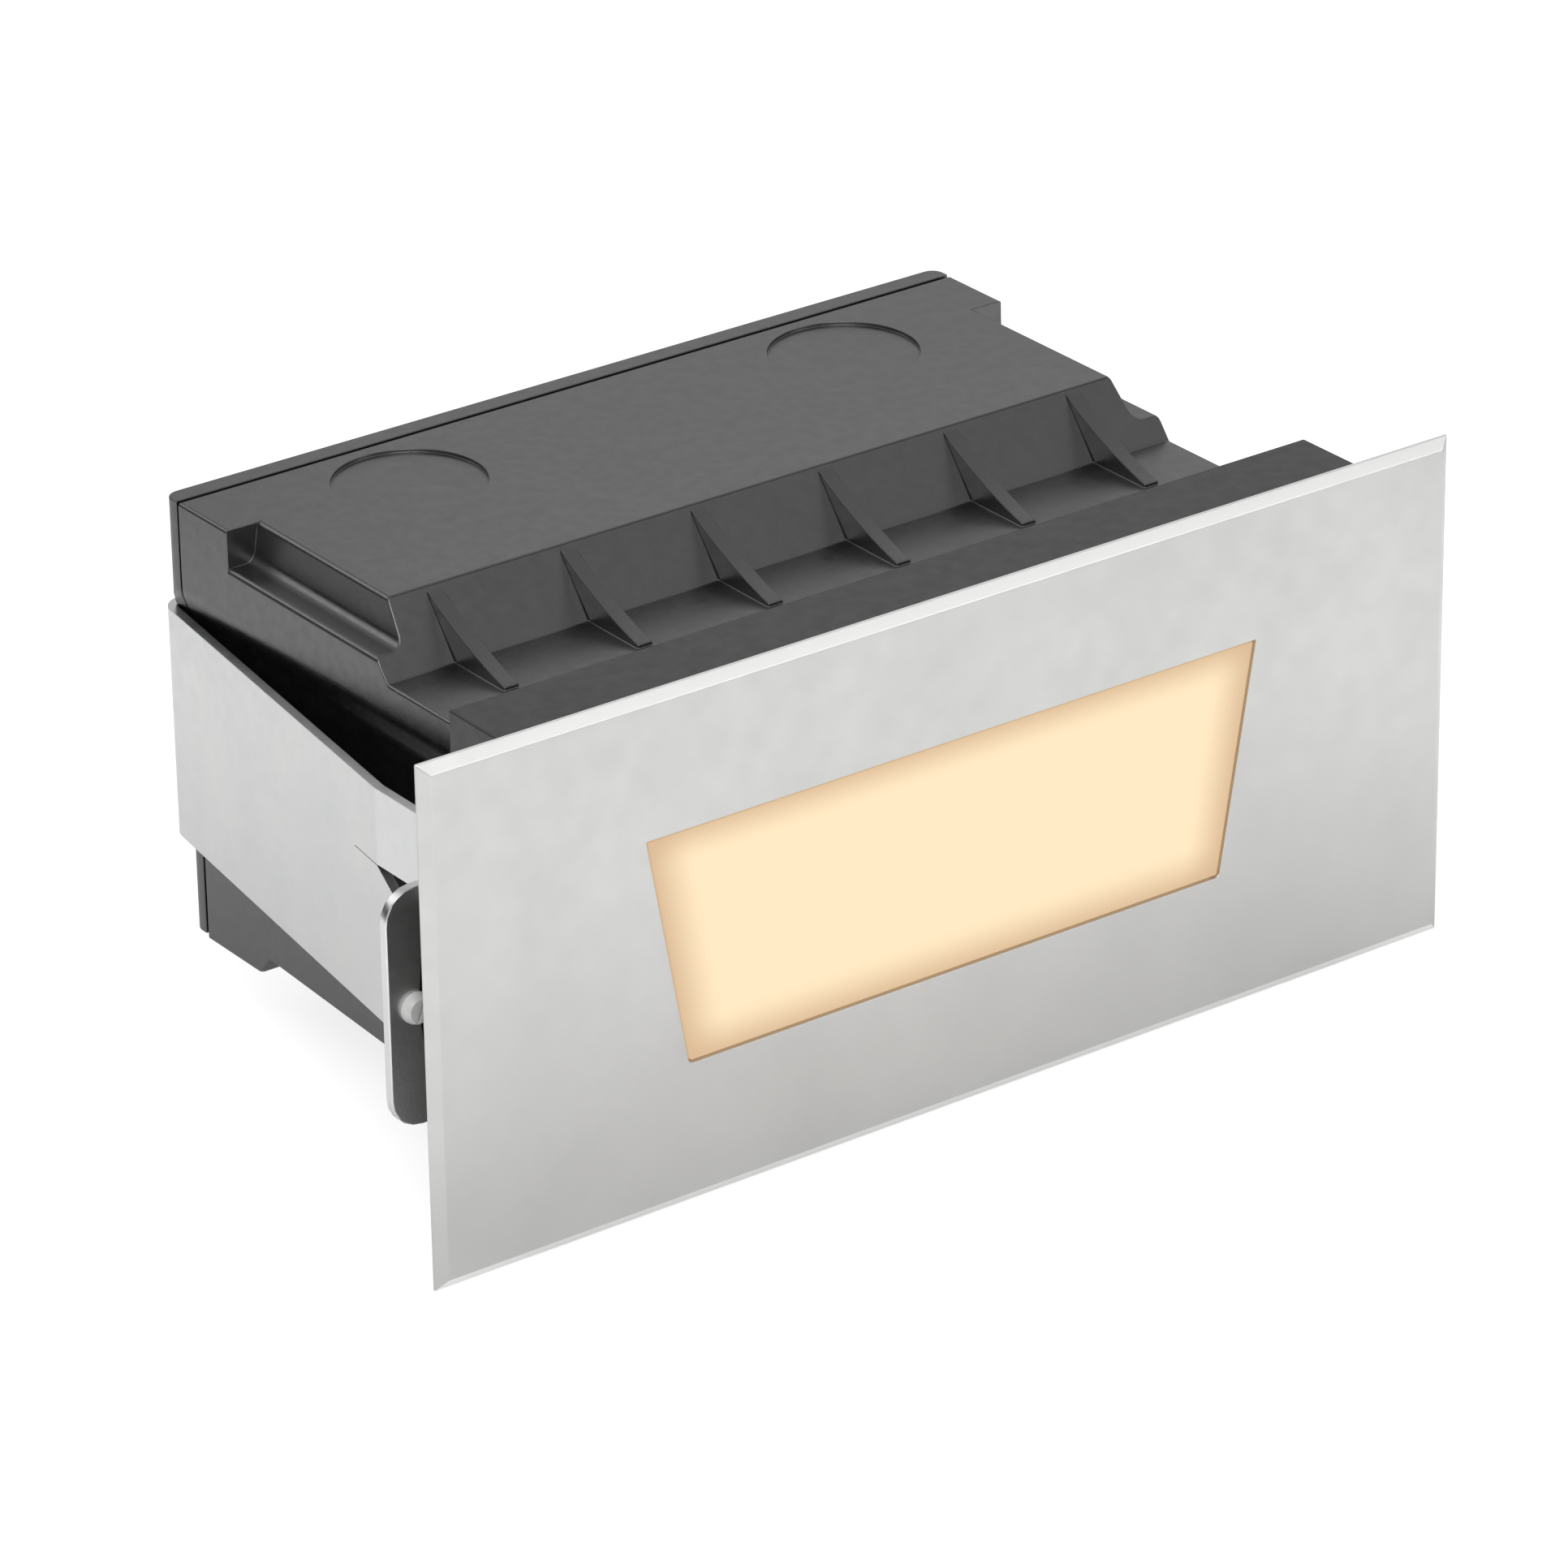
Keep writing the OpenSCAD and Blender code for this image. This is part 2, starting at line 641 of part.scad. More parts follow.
module back_box() color(black_colour) {
    difference() {
        union() {
            difference() {
                intersection() {
                    across(box_w) box_side(box_y, box_end);
                    back_from(box_y - cut, box_depth + 2*cut) box_front();
                }
                intersection() {
                    across(box_w) cavity_side();
                    back_from(box_y - 2*cut, box_depth + 4*cut) cavity_front();
                }
            }
            for (i = [0:rib_count - 1]) translate([rib_pitch*(i - (rib_count - 1)/2), 0, 0]) gusset();
            for (sx = [-1, 1]) {
                for (z = [boss_top_z, boss_low_z]) bar(sx*boss_x, z, box_y, front_boss_len, boss_d);
                for (z = [cover_boss_top_z, cover_boss_low_z])
                    bar(sx*cover_boss_x, z, box_end - rear_boss_len, rear_boss_len, boss_d);
            }
            translate([earth_x, driver_mid, inner_floor - boss_sink])
                cylinder(d = boss_d, h = earth_boss_h + boss_sink);
            for (sx = [-1, 1]) translate([sx*driver_screw_x, driver_mid, inner_floor - boss_sink])
                cylinder(d = boss_d, h = driver_boss_h + boss_sink);
        }
        mirrored_x() back_from(box_y - cut, rear_y - ledge_end - box_y + cut) ledge_outline();
        for (sx = [-1, 1]) {
            translate([sx*knockout_pitch/2, knockout_y, deck_z - knockout_dip])
                cylinder(d = knockout_d, h = knockout_dip + cut, $fn = 96);
            for (z = [boss_top_z, boss_low_z])
                bar(sx*boss_x, z, box_y - cut, screw_len, screw_d + play);
            for (z = [cover_boss_top_z, cover_boss_low_z])
                bar(sx*cover_boss_x, z, box_end - screw_len, screw_len + cut, screw_d + play);
        }
        for (x = [earth_x, -driver_screw_x, driver_screw_x])
            translate([x, driver_mid, inner_floor - rest_gap]) cylinder(d = screw_d + play, h = screw_len);
    }
}

// Rear of the box seen from the front, set in by inset
module rear_outline(inset) polygon([[-low_w/2 + inset, foot_z + inset], [low_w/2 - inset, foot_z + inset],
    [low_w/2 - inset, set_z - set_rise], [box_w/2 - inset, set_z], [box_w/2 - inset, deck_z - inset],
    [-box_w/2 + inset, deck_z - inset], [-box_w/2 + inset, set_z], [-low_w/2 + inset, set_z - set_rise]]);

module rear_gasket() color(rubber_colour) back_from(box_end, seam_t) difference() {
    rear_outline(seam_inset);
    intersection() {
        cavity_front();
        translate([-box_w/2, inner_floor]) square([box_w, deck_z - box_wall - inner_floor]);
    }
}

// Plan view of the cover, with rounded rear corners, where the box is w wide
module cover_plan(w) polygon(rounded([[-w/2, cover_y - cut, 0], [w/2, cover_y - cut, 0],
    [w/2, rear_y, rear_r], [-w/2, rear_y, rear_r]]));

module rear_cover() color(black_colour) difference() {
    union() {
        intersection() {
            back_from(cover_y, cover_t) box_front();
            union() {
                upright(foot_z + deck_edge_r, cover_step_z) cover_plan(low_w);
                upright(cover_step_z - lap, deck_z) cover_plan(box_w);
            }
        }
        for (sx = [-1, 1]) bar(sx*strap_screw_x, strap_mid, cover_y - strap_boss_len,
            strap_boss_len + cover_t/2, boss_d);
    }
    for (sx = [-1, 1]) {
        bar(sx*strap_screw_x, strap_mid, cover_y - strap_boss_len + cut, strap_boss_len + cover_t,
            screw_d + play);
        for (z = [cover_boss_top_z, cover_boss_low_z]) {
            bar(sx*cover_boss_x, z, cover_y - cut, cover_t + 2*cut, screw_d + play);
            bar(sx*cover_boss_x, z, rear_y - head_h - rest_gap, head_h + cut, head_d + 2*rest_gap);
        }
    }
}

// Screws whose heads face the rear
module cover_screws() color(zinc_colour) for (sx = [-1, 1], z = [cover_boss_top_z, cover_boss_low_z])
    translate([sx*cover_boss_x, rear_y - head_h - rest_gap, z]) rotate([0, 0, 180])
        pan_screw(0, 0, 0, screw_len, screw_d, head_d, head_h);

// Spring bracket

function ahead(a) = [cos(a), sin(a)];
function leftward(a) = [-sin(a), cos(a)];
function backwards(v) = [for (i = [len(v) - 1:-1:0]) v[i]];

// Points of one face of a bent sheet that starts at p and heads along angle a. Each step is
// [length, turn to the left, inner radius], and the face lies d to the right of p.
function bent_face(p, a, steps, d, i = 0) = i == len(steps) ? [] :
    let(turn = steps[i].y, r = steps[i].z, reach = turn < 0 ? sheet + r : -r,
        centre = p + steps[i].x*ahead(a) - reach*leftward(a))
    concat([for (k = [0:turn == 0 ? 0 : bend_steps]) centre + (reach - d)*leftward(a + turn*k/bend_steps)],
        bent_face(centre + reach*leftward(a + turn), a + turn, steps, d, i + 1));

// Plan of the left side of the bracket, from its short back leg through the given steps
module bent_plan(steps) {
    p = [-split_x, strap_y];
    polygon(concat([p], bent_face(p, 180, steps, 0), backwards(bent_face(p, 180, steps, sheet)),
        [p + [0, sheet]]));
}

module upright(z0, z1) translate([0, 0, z0]) linear_extrude(z1 - z0) children();

// Front view of the lower arm and its ear, which is wider than the arm
module ear_outline() {
    root = ear_root_x + ear_relief;
    polygon(rounded([[-split_x + cut, strap_z, 0], [-root, strap_z, 0], [-root, ear_z - ear_h/2, 0],
        [-ear_x, ear_z - ear_h/2, ear_corner_r], [-ear_x, ear_z + ear_h/2, ear_corner_r],
        [-root, ear_z + ear_h/2, 0], [-root, slit_z - slit_t/2, 0], [-split_x + cut, slit_z - slit_t/2, 0]]));
}

module spring_arm() color(steel_colour) {
    leg = [bend_x - split_x, arm_turn, bend_r];
    tab_run = kink_y - tab_front - bend_r*sin(flare);
    difference() {
        intersection() {
            upright(ear_z - ear_h, ear_z + ear_h)
                bent_plan([leg, [arm_run + ear_run, -arm_turn, ear_bend_r], [ear_w + ear_relief, 0, 0]]);
            back_from(0, strap_y + 2*sheet) ear_outline();
        }
        across(2*ear_x) polygon([[kink_y, slit_z - slit_t/2], [kink_y - notch_len, slit_z - notch_drop],
            [ear_bend_y, slit_z - notch_drop], [ear_bend_y, slit_z + cut], [kink_y, slit_z + cut]]);
        bar(-ear_screw_x, ear_z, ear_back - cut, sheet + 2*cut, ear_screw_d + play);
    }
    upright(slit_z - slit_t/2, slit_z + slit_t/2) bent_plan([leg, [arm_run - slit_len, 0, 0]]);
    upright(slit_z + slit_t/2, strap_top) bent_plan([leg, [arm_run, flare, bend_r], [tab_run, 0, 0]]);
}

module left_spring_arm() spring_arm();

module right_spring_arm() mirror([1, 0, 0]) spring_arm();

module back_strap() color(steel_colour) difference() {
    upright(strap_z, strap_top) translate([-split_x + rest_gap, strap_y])
        square([2*split_x - 2*rest_gap, sheet]);
    for (sx = [-1, 1]) {
        bar(sx*strap_screw_x, strap_mid, strap_y - cut, sheet + 2*cut, screw_d + play);
        sunk_head(sx*strap_screw_x, head_d + 2*play);
    }
}

// Cone of a countersunk head that ends flush with the strap's rear
module sunk_head(x, d) translate([x, strap_y + sheet - sunk_h, strap_mid]) rotate([-90, 0, 0])
    cylinder(d1 = screw_d, d2 = d, h = sunk_h);

module strap_screws() color(zinc_colour) for (sx = [-1, 1]) {
    bar(sx*strap_screw_x, strap_mid, strap_y + sheet - screw_len, screw_len, screw_d);
    sunk_head(sx*strap_screw_x, head_d);
}

module ear_screw() color(zinc_colour)
    pan_screw(-ear_screw_x, ear_z, ear_back, sheet + nut_t + nut_end, ear_screw_d, ear_head_d, ear_head_h);

module left_ear_screw() ear_screw();

module right_ear_screw() mirror([1, 0, 0]) ear_screw();

module ear_nut() color(zinc_colour) back_from(ear_back + sheet, nut_t) translate([-ear_screw_x, ear_z])
    difference() {
        rotate(180/nut_sides) circle(d = nut_w/cos(180/nut_sides), $fn = nut_sides);
        circle(d = ear_screw_d + play);
    }

module left_ear_nut() ear_nut();

module right_ear_nut() mirror([1, 0, 0]) ear_nut();

// Driver and terminals

module driver_case() color("#5A5D60") difference() {
    union() {
        translate([-driver_w/2, driver_y, driver_z]) cube([driver_w, driver_d, driver_h]);
        for (sx = [-1, 1])
            translate([sx*driver_screw_x, driver_mid, driver_z + driver_boss_h + driver_lug_t/2])
                cube([driver_lug + 2*lap, driver_lug, driver_lug_t], center = true);
    }
    translate([-driver_w/2 + driver_wall, driver_y + driver_wall, driver_z + driver_floor_t])
        cube([driver_w - 2*driver_wall, driver_d - 2*driver_wall, driver_h]);
    for (sx = [-1, 1]) translate([sx*driver_screw_x, driver_mid, driver_z])
        cylinder(d = screw_d + play, h = driver_h);
}

module driver_board() color("#2F6B45") {
    board_in = driver_wall + driver_gap;
    board_z = driver_z + driver_floor_t + driver_post_h;
    translate([-driver_w/2 + board_in, driver_y + board_in, board_z])
        cube([driver_w - 2*board_in, driver_d - 2*board_in, driver_board_t]);
    for (sx = [-1, 1]) translate([sx*driver_w*post_share, driver_mid, driver_z + driver_floor_t])
        cylinder(d = driver_post_d, h = driver_post_h + lap);
    translate([-driver_w*coil_share, driver_mid - coil_s/2, board_z + driver_board_t - lap])
        cube([coil_s, coil_s, coil_h]);
    for (i = [0:capacitor_count - 1])
        translate([(i + 1)*capacitor_pitch, driver_mid, board_z + driver_board_t - lap])
            cylinder(d = capacitor_d, h = coil_h);
}

module driver_cover() color("#5A5D60") translate([-driver_w/2, driver_y, driver_z + driver_h])
    cube([driver_w, driver_d, driver_wall]);

// A pan-head screw that points down, its head's underside at z
module down_screw(x, y, z, length) translate([x, y, z - length]) {
    cylinder(d = screw_d, h = length);
    translate([0, 0, length]) cylinder(d = head_d, h = head_h);
}

module driver_screws() color(zinc_colour) for (sx = [-1, 1])
    down_screw(sx*driver_screw_x, driver_mid, driver_z + driver_boss_h + driver_lug_t,
        driver_boss_h + driver_lug_t);

module terminal_block() color("#E6E4DC") translate([terminal_x - terminal_w/2, terminal_y, driver_z])
    difference() {
        cube([terminal_w, terminal_d, terminal_h]);
        for (i = [0:pole_count - 1]) translate([terminal_w*(i + 1/2)/pole_count, 0, 0]) {
            translate([0, terminal_d/2, terminal_h/2]) cylinder(d = pole_d + play, h = terminal_h);
            translate([0, -cut, terminal_h*entry_share]) rotate([-90, 0, 0])
                cylinder(d = pole_d, h = terminal_d*entry_share + cut);
        }
    }

module terminal_screws() color("#C9A54A") for (i = [0:pole_count - 1])
    translate([terminal_x - terminal_w/2 + terminal_w*(i + 1/2)/pole_count, terminal_y + terminal_d/2,
        driver_z + terminal_h/2]) cylinder(d = pole_d, h = terminal_h/2 - rest_gap);

module earth_screw() color("#4E8B57")
    down_screw(earth_x, driver_mid, inner_floor + earth_boss_h, earth_boss_h);

faceplate();
faceplate_studs();
stud_grommets();
plate_gasket();
collar();
collar_gasket();
collar_screws();
lens();
lens_gasket();
lens_bezel();
engine_housing();
reflector();
led_board();
led_chips();
thermal_pad();
board_screws();
heat_sink();
wire_grommet();
engine_screws();
back_box();
rear_gasket();
rear_cover();
cover_screws();
back_strap();
strap_screws();
left_spring_arm();
right_spring_arm();
left_ear_screw();
right_ear_screw();
left_ear_nut();
right_ear_nut();
driver_case();
driver_board();
driver_cover();
driver_screws();
terminal_block();
terminal_screws();
earth_screw();
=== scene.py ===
"""Looks of a recessed wall light: stainless faceplate and spring bracket, moulded back box, frosted lens lit
from behind. Metres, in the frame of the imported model: X to the right, Y into the wall, Z up."""
import json
import math

import bmesh
import bpy
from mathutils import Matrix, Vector


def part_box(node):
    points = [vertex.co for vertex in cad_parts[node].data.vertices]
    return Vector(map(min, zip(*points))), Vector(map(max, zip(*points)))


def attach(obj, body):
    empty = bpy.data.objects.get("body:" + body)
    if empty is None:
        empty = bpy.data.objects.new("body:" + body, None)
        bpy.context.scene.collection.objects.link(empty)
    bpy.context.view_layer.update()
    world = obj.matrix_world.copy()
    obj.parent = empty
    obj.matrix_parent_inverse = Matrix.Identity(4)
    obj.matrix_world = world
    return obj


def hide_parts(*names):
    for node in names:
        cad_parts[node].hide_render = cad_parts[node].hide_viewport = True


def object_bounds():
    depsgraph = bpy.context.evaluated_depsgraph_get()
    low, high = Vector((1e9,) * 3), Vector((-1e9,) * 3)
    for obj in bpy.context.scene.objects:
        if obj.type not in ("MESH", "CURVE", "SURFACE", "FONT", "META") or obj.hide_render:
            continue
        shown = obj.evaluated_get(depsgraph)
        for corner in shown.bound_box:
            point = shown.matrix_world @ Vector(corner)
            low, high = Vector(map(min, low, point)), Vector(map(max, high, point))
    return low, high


MM = 0.001

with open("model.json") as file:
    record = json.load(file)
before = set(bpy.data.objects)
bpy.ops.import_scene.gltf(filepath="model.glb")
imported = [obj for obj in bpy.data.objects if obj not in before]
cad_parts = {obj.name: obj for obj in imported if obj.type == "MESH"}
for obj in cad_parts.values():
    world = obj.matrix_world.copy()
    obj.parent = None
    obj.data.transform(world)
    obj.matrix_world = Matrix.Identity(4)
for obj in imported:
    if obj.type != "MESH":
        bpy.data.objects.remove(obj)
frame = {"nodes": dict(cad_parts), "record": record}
cad_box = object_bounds()
body_of = {name: body for body, names in frame["record"]["behaviour"]["bodies"].items() for name in names}
slot_of = {part["node"]: part["material_slot"] for part in frame["record"]["subparts"]}
scene = bpy.context.scene


def linear(code):
    """Turns an sRGB hex value to a linear colour."""
    parts = [int(code[i:i + 2], 16)/255 for i in (1, 3, 5)]
    return [p/12.92 if p <= 0.04045 else ((p + 0.055)/1.055)**2.4 for p in parts] + [1.0]


def add(tree, kind, sockets=(), **settings):
    """Adds a node with its settings, and sets or links its sockets."""
    made = tree.nodes.new(kind)
    for name, value in settings.items():
        setattr(made, name, value)
    for name, value in dict(sockets).items():
        if isinstance(value, bpy.types.NodeSocket):
            tree.links.new(value, made.inputs[name])
        else:
            made.inputs[name].default_value = value
    return made


# Camera, fitted to the photograph's edges: turn to the left, tilt and roll in degrees, then how far the
# light stands aside, below and away in millimetres
TURN, TILT, ROLL = 36.007, 25.757, -0.848
ASIDE, BELOW, AWAY = 30.24, 11.90, 1414.8
LENS, SENSOR = 181.44, 36
NEAREST, FARTHEST = 0.05, 50


def place_camera():
    """Looks at the light from the left front and from above."""
    turn, tilt, roll = (math.radians(angle) for angle in (TURN, TILT, ROLL))
    ahead = Vector((math.sin(turn)*math.cos(tilt), math.cos(turn)*math.cos(tilt), -math.sin(tilt)))
    level = Vector((math.cos(turn), -math.sin(turn), 0))
    upright = level.cross(ahead)
    right = math.cos(roll)*level + math.sin(roll)*upright
    up = math.cos(roll)*upright - math.sin(roll)*level
    camera = bpy.data.objects.new("camera", bpy.data.cameras.new("camera"))
    scene.collection.objects.link(camera)
    camera.data.lens, camera.data.sensor_width = LENS, SENSOR
    camera.data.clip_start, camera.data.clip_end = NEAREST, FARTHEST
    matrix = camera.matrix_world.copy()
    for column, axis in enumerate((right, up, -ahead)):
        for row in range(3):
            matrix[row][column] = axis[row]
    matrix.translation = -(ASIDE*right - BELOW*up + AWAY*ahead)*MM
    camera.matrix_world = matrix
    scene.camera = camera


# Stage: a pale floor and a white surround, lit by soft boxes
MATH, VECTORS, RAMP = "ShaderNodeMath", "ShaderNodeVectorMath", "ShaderNodeMapRange"
WHITE = "#FFFFFF"
# Level of the surround for diffuse rays, and of the grey room in reflections
FILL, ROOM = 0.42, 0.55
# Black card at the left, low behind the light: direction, cosines at its rim and body, and level
CARD, CARD_RIM, CARD_BODY, CARD_LEVEL = (-0.67, 0.73, 0.12), 0.80, 0.94, 0.02
# Floor: half its width, and how far it lies below the light
FLOOR_HALF, FLOOR_GAP = 4.0, 0.6*MM
# Its paper where it is seen and where it isn't, and the light it gives to the eye
PAPER_SEEN, PAPER_PLAIN, PAPER_LEVEL = "#BEBEBE", "#E4E4E4", 0.78
# White table in reflections, with a painted shadow round the light: centre and half size of the light's
# footprint, level of the painted shadow at its edge, and the distance from it at which the table is white
FOOT, FOOT_HALF, PAINTED_FOOT_SHADOW, FOOT_REACH = (0, 0.06, 0), (0.09, 0.06, 1), 0.30, 0.15
# Distances from the middle between which the table ends, and the depths between which painted shade darkens
# its rear
TABLE_END = (0.33, 0.55)
REAR_SHADE, PAINTED_REAR_SHADE = (0.08, 0.25), 0.65
LAMPS = [
    # name, place, size, watts
    ("key_softbox", (-0.42, -0.58, 0.74), 0.7, 6.0),
    ("rear_softbox", (0.60, 0.70, 0.70), 0.6, 0.45),
    ("left_softbox", (-0.50, 0.76, 0.60), 0.5, 1.2),
    ("front_softbox", (0.72, -1.06, 0.42), 0.6, 2.2),
]


def seen_rays(tree):
    """1 for camera, glossy and transmission rays, and 0 for the rest."""
    path = add(tree, "ShaderNodeLightPath").outputs
    some = add(tree, MATH, {0: path["Is Camera Ray"], 1: path["Is Glossy Ray"]},
               operation="MAXIMUM").outputs[0]
    return add(tree, MATH, {0: some, 1: path["Is Transmission Ray"]}, operation="MAXIMUM").outputs[0]


def build_surround():
    """White all round to the eye, and a grey room with a black card in reflections."""
    world = bpy.data.worlds.new("white_studio")
    scene.world = world
    world.use_nodes = True
    tree = world.node_tree
    tree.nodes.clear()
    fill = add(tree, "ShaderNodeBackground", {"Color": linear(WHITE), "Strength": FILL})
    away = add(tree, "ShaderNodeTexCoord").outputs["Generated"]
    card = add(tree, VECTORS, {0: away, 1: CARD}, operation="DOT_PRODUCT").outputs["Value"]
    room = add(tree, RAMP, {"Value": card, 1: CARD_RIM, 2: CARD_BODY, 3: ROOM, 4: CARD_LEVEL},
               interpolation_type="SMOOTHSTEP").outputs[0]
    eye = add(tree, "ShaderNodeLightPath").outputs["Is Camera Ray"]
    bright = add(tree, MATH, {0: eye, 1: room}, operation="MAXIMUM").outputs[0]
    white = add(tree, "ShaderNodeBackground", {"Color": linear(WHITE), "Strength": bright})
    both = add(tree, "ShaderNodeMixShader", {0: seen_rays(tree), 1: fill.outputs[0], 2: white.outputs[0]})
    add(tree, "ShaderNodeOutputWorld", {"Surface": both.outputs[0]})


def table_level(tree):
    """How white the table is in reflections: painted shadow beside the light and painted shade at its rear,
    and then it ends.
    """
    place = add(tree, "ShaderNodeTexCoord").outputs["Object"]
    beside = place
    for operation, other in (("SUBTRACT", FOOT), ("ABSOLUTE", None), ("SUBTRACT", FOOT_HALF),
                             ("MAXIMUM", (0, 0, 0))):
        sockets = {0: beside, 1: other} if other else {0: beside}
        beside = add(tree, VECTORS, sockets, operation=operation).outputs[0]
    beside = add(tree, VECTORS, {0: beside}, operation="LENGTH").outputs["Value"]
    # Painted shadow: the table in reflections is darker close to the light's footprint
    near = add(tree, RAMP, {"Value": beside, 1: 0.0, 2: FOOT_REACH, 3: PAINTED_FOOT_SHADOW, 4: 1.0}).outputs[0]
    away = add(tree, VECTORS, {0: place}, operation="LENGTH").outputs["Value"]
    far = add(tree, RAMP, {"Value": away, 1: TABLE_END[0], 2: TABLE_END[1], 3: 1.0, 4: 0.0},
              interpolation_type="SMOOTHSTEP").outputs[0]
    table = add(tree, MATH, {0: near, 1: far}, operation="MINIMUM").outputs[0]
    depth = add(tree, "ShaderNodeSeparateXYZ", {0: place}).outputs["Y"]
    # Painted shade: the table's rear is darker in reflections
    rear = add(tree, RAMP, {"Value": depth, 1: REAR_SHADE[0], 2: REAR_SHADE[1], 3: 1.0, 4: PAINTED_REAR_SHADE})
    return add(tree, MATH, {0: table, 1: rear.outputs[0]}, operation="MULTIPLY").outputs[0]


def build_floor():
    """White to the eye, with the light's shadow in its diffuse share, and in reflections a white table with
    painted shade beside the light and at its rear.
    """
    half, drop = FLOOR_HALF, cad_box[0].z - FLOOR_GAP
    mesh = bpy.data.meshes.new("studio_floor")
    mesh.from_pydata([(-half, -half, drop), (half, -half, drop), (half, half, drop), (-half, half, drop)],
                     [], [(0, 1, 2, 3)])
    floor = bpy.data.objects.new("studio_floor", mesh)
    scene.collection.objects.link(floor)
    paper = bpy.data.materials.new("white_paper_floor")
    paper.use_nodes = True
    tree = paper.node_tree
    tree.nodes.clear()
    matt = add(tree, "ShaderNodeBsdfDiffuse", {"Color": linear(PAPER_SEEN)})
    eye = add(tree, "ShaderNodeLightPath").outputs["Is Camera Ray"]
    eye = add(tree, MATH, {0: eye, 1: PAPER_LEVEL}, operation="MULTIPLY").outputs[0]
    lit = add(tree, MATH, {0: table_level(tree), 1: eye}, operation="MAXIMUM").outputs[0]
    glow = add(tree, "ShaderNodeEmission", {"Color": linear(WHITE), "Strength": lit})
    shown = add(tree, "ShaderNodeAddShader", {0: matt.outputs[0], 1: glow.outputs[0]})
    plain = add(tree, "ShaderNodeBsdfDiffuse", {"Color": linear(PAPER_PLAIN)})
    both = add(tree, "ShaderNodeMixShader", {0: seen_rays(tree), 1: plain.outputs[0], 2: shown.outputs[0]})
    add(tree, "ShaderNodeOutputMaterial", {"Surface": both.outputs[0]})
    mesh.materials.append(paper)


def hang_lamps():
    """Square soft boxes that face the light."""
    for name, place, width, watts in LAMPS:
        data = bpy.data.lights.new(name, "AREA")
        data.shape, data.size, data.energy = "SQUARE", width, watts
        lamp = bpy.data.objects.new(name, data)
        lamp.location = place
        lamp.rotation_euler = (-Vector(place)).to_track_quat("-Z", "Y").to_euler()
        scene.collection.objects.link(lamp)


# Materials
# Noise between these values is spread to the full range
NOISE_SPAN = (0.3, 0.7)
METAL = {"Metallic": 1.0}
# Width of the faceplate's bevel, and over how much of it the painted highlight on the top and foot bevels
# fades in
BEVEL, BEVEL_BLEND = 2.1*MM, 0.05*MM
# Lit window of the lens: half its width at mid height, how much each metre up adds to that, and half its
# height
WINDOW_HALF, WINDOW_SPLAY, WINDOW_RISE = 0.06415, 0.1769, 0.0229
# The glow starts this far outside the window's edges, and is full this far inside its sides, top and foot
GLOW_START, GLOW_SIDE, GLOW_TOP, GLOW_FOOT = -2*MM, 10*MM, 7*MM, 8.5*MM
# Spacing of the copper under the white board's mask, and of the green board's tracks, in millimetres
COPPER, TRACKS = 14, 5
# Die lines of extruded aluminium: width in millimetres, and how much longer than wide they are drawn
DIE_LINES, DIE_STRETCH = 0.5, 50


def per(mm):
    """The texture scale at which one feature is about this many millimetres wide."""
    return 1/(mm*MM)


def grain(tree, place, mm, low=0.0, high=1.0, detail=2):
    """Noise with features of a real width, spread between two values."""
    noise = add(tree, "ShaderNodeTexNoise", {"Vector": place, "Scale": per(mm), "Detail": detail}).outputs[0]
    return add(tree, RAMP, {"Value": noise, 1: NOISE_SPAN[0], 2: NOISE_SPAN[1], 3: low, 4: high}).outputs[0]


def surface(tree, place, colours, clouds, rough, patches, relief=None, other=None):
    """Sockets of a surface: two colours in clouds, roughness in patches, and a relief. Clouds, patches and
    relief have a width in millimetres and a detail of their noise, and the relief a depth in millimetres."""
    share = grain(tree, place, clouds[0], detail=clouds[1])
    mix = add(tree, "ShaderNodeMix", {0: share, 6: linear(colours[0]), 7: linear(colours[1])},
              data_type="RGBA")
    look = {"Base Color": mix.outputs[2], "Roughness": grain(tree, place, patches[0], *rough, patches[1])}
    if relief:
        width, detail, depth = relief
        look["Normal"] = add(tree, "ShaderNodeBump", {"Height": grain(tree, place, width, detail=detail),
                                                      "Distance": depth*MM}).outputs[0]
    return {**look, **(other or {})}


def material(name, look, *rows):
    """A material whose Principled sockets come from look, which gets the tree and the object coordinates."""
    made = bpy.data.materials.new(name)
    made.use_nodes = True
    tree = made.node_tree
    tree.nodes.clear()
    place = add(tree, "ShaderNodeTexCoord").outputs["Object"]
    shader = add(tree, "ShaderNodeBsdfPrincipled", look(tree, place, *rows))
    add(tree, "ShaderNodeOutputMaterial", {"Surface": shader.outputs[0]})
    return made


def satin_stainless(tree, place):
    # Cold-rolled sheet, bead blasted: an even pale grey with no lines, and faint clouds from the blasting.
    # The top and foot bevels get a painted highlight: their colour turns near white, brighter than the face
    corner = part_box("faceplate")[1]
    axes = add(tree, "ShaderNodeSeparateXYZ", {0: place}).outputs
    past = []
    for axis, edge in (("X", corner.x), ("Z", corner.z)):
        out = add(tree, MATH, {0: axes[axis]}, operation="ABSOLUTE").outputs[0]
        past.append(add(tree, MATH, {0: out, 1: edge - BEVEL}, operation="SUBTRACT").outputs[0])
    side = add(tree, MATH, {0: past[0], 1: 0.0}, operation="MAXIMUM").outputs[0]
    inside = add(tree, MATH, {0: past[1], 1: side}, operation="SUBTRACT").outputs[0]
    painted_bevel_highlight = add(tree, RAMP, {"Value": inside, 1: 0.0, 2: BEVEL_BLEND, 3: 0.0, 4: 1.0}).outputs[0]
    look = surface(tree, place, ("#C7C7C6", "#CCCCCB"), (28, 2), (0.40, 0.47), (5, 3), (0.5, 2, 0.004),
                   METAL)
    # Painted highlight: near-white colour on the top and foot bevels
    look["Base Color"] = add(tree, "ShaderNodeMix", {0: painted_bevel_highlight, 6: look["Base Color"], 7: linear("#F2F2F1")},
                             data_type="RGBA").outputs[2]
    return look


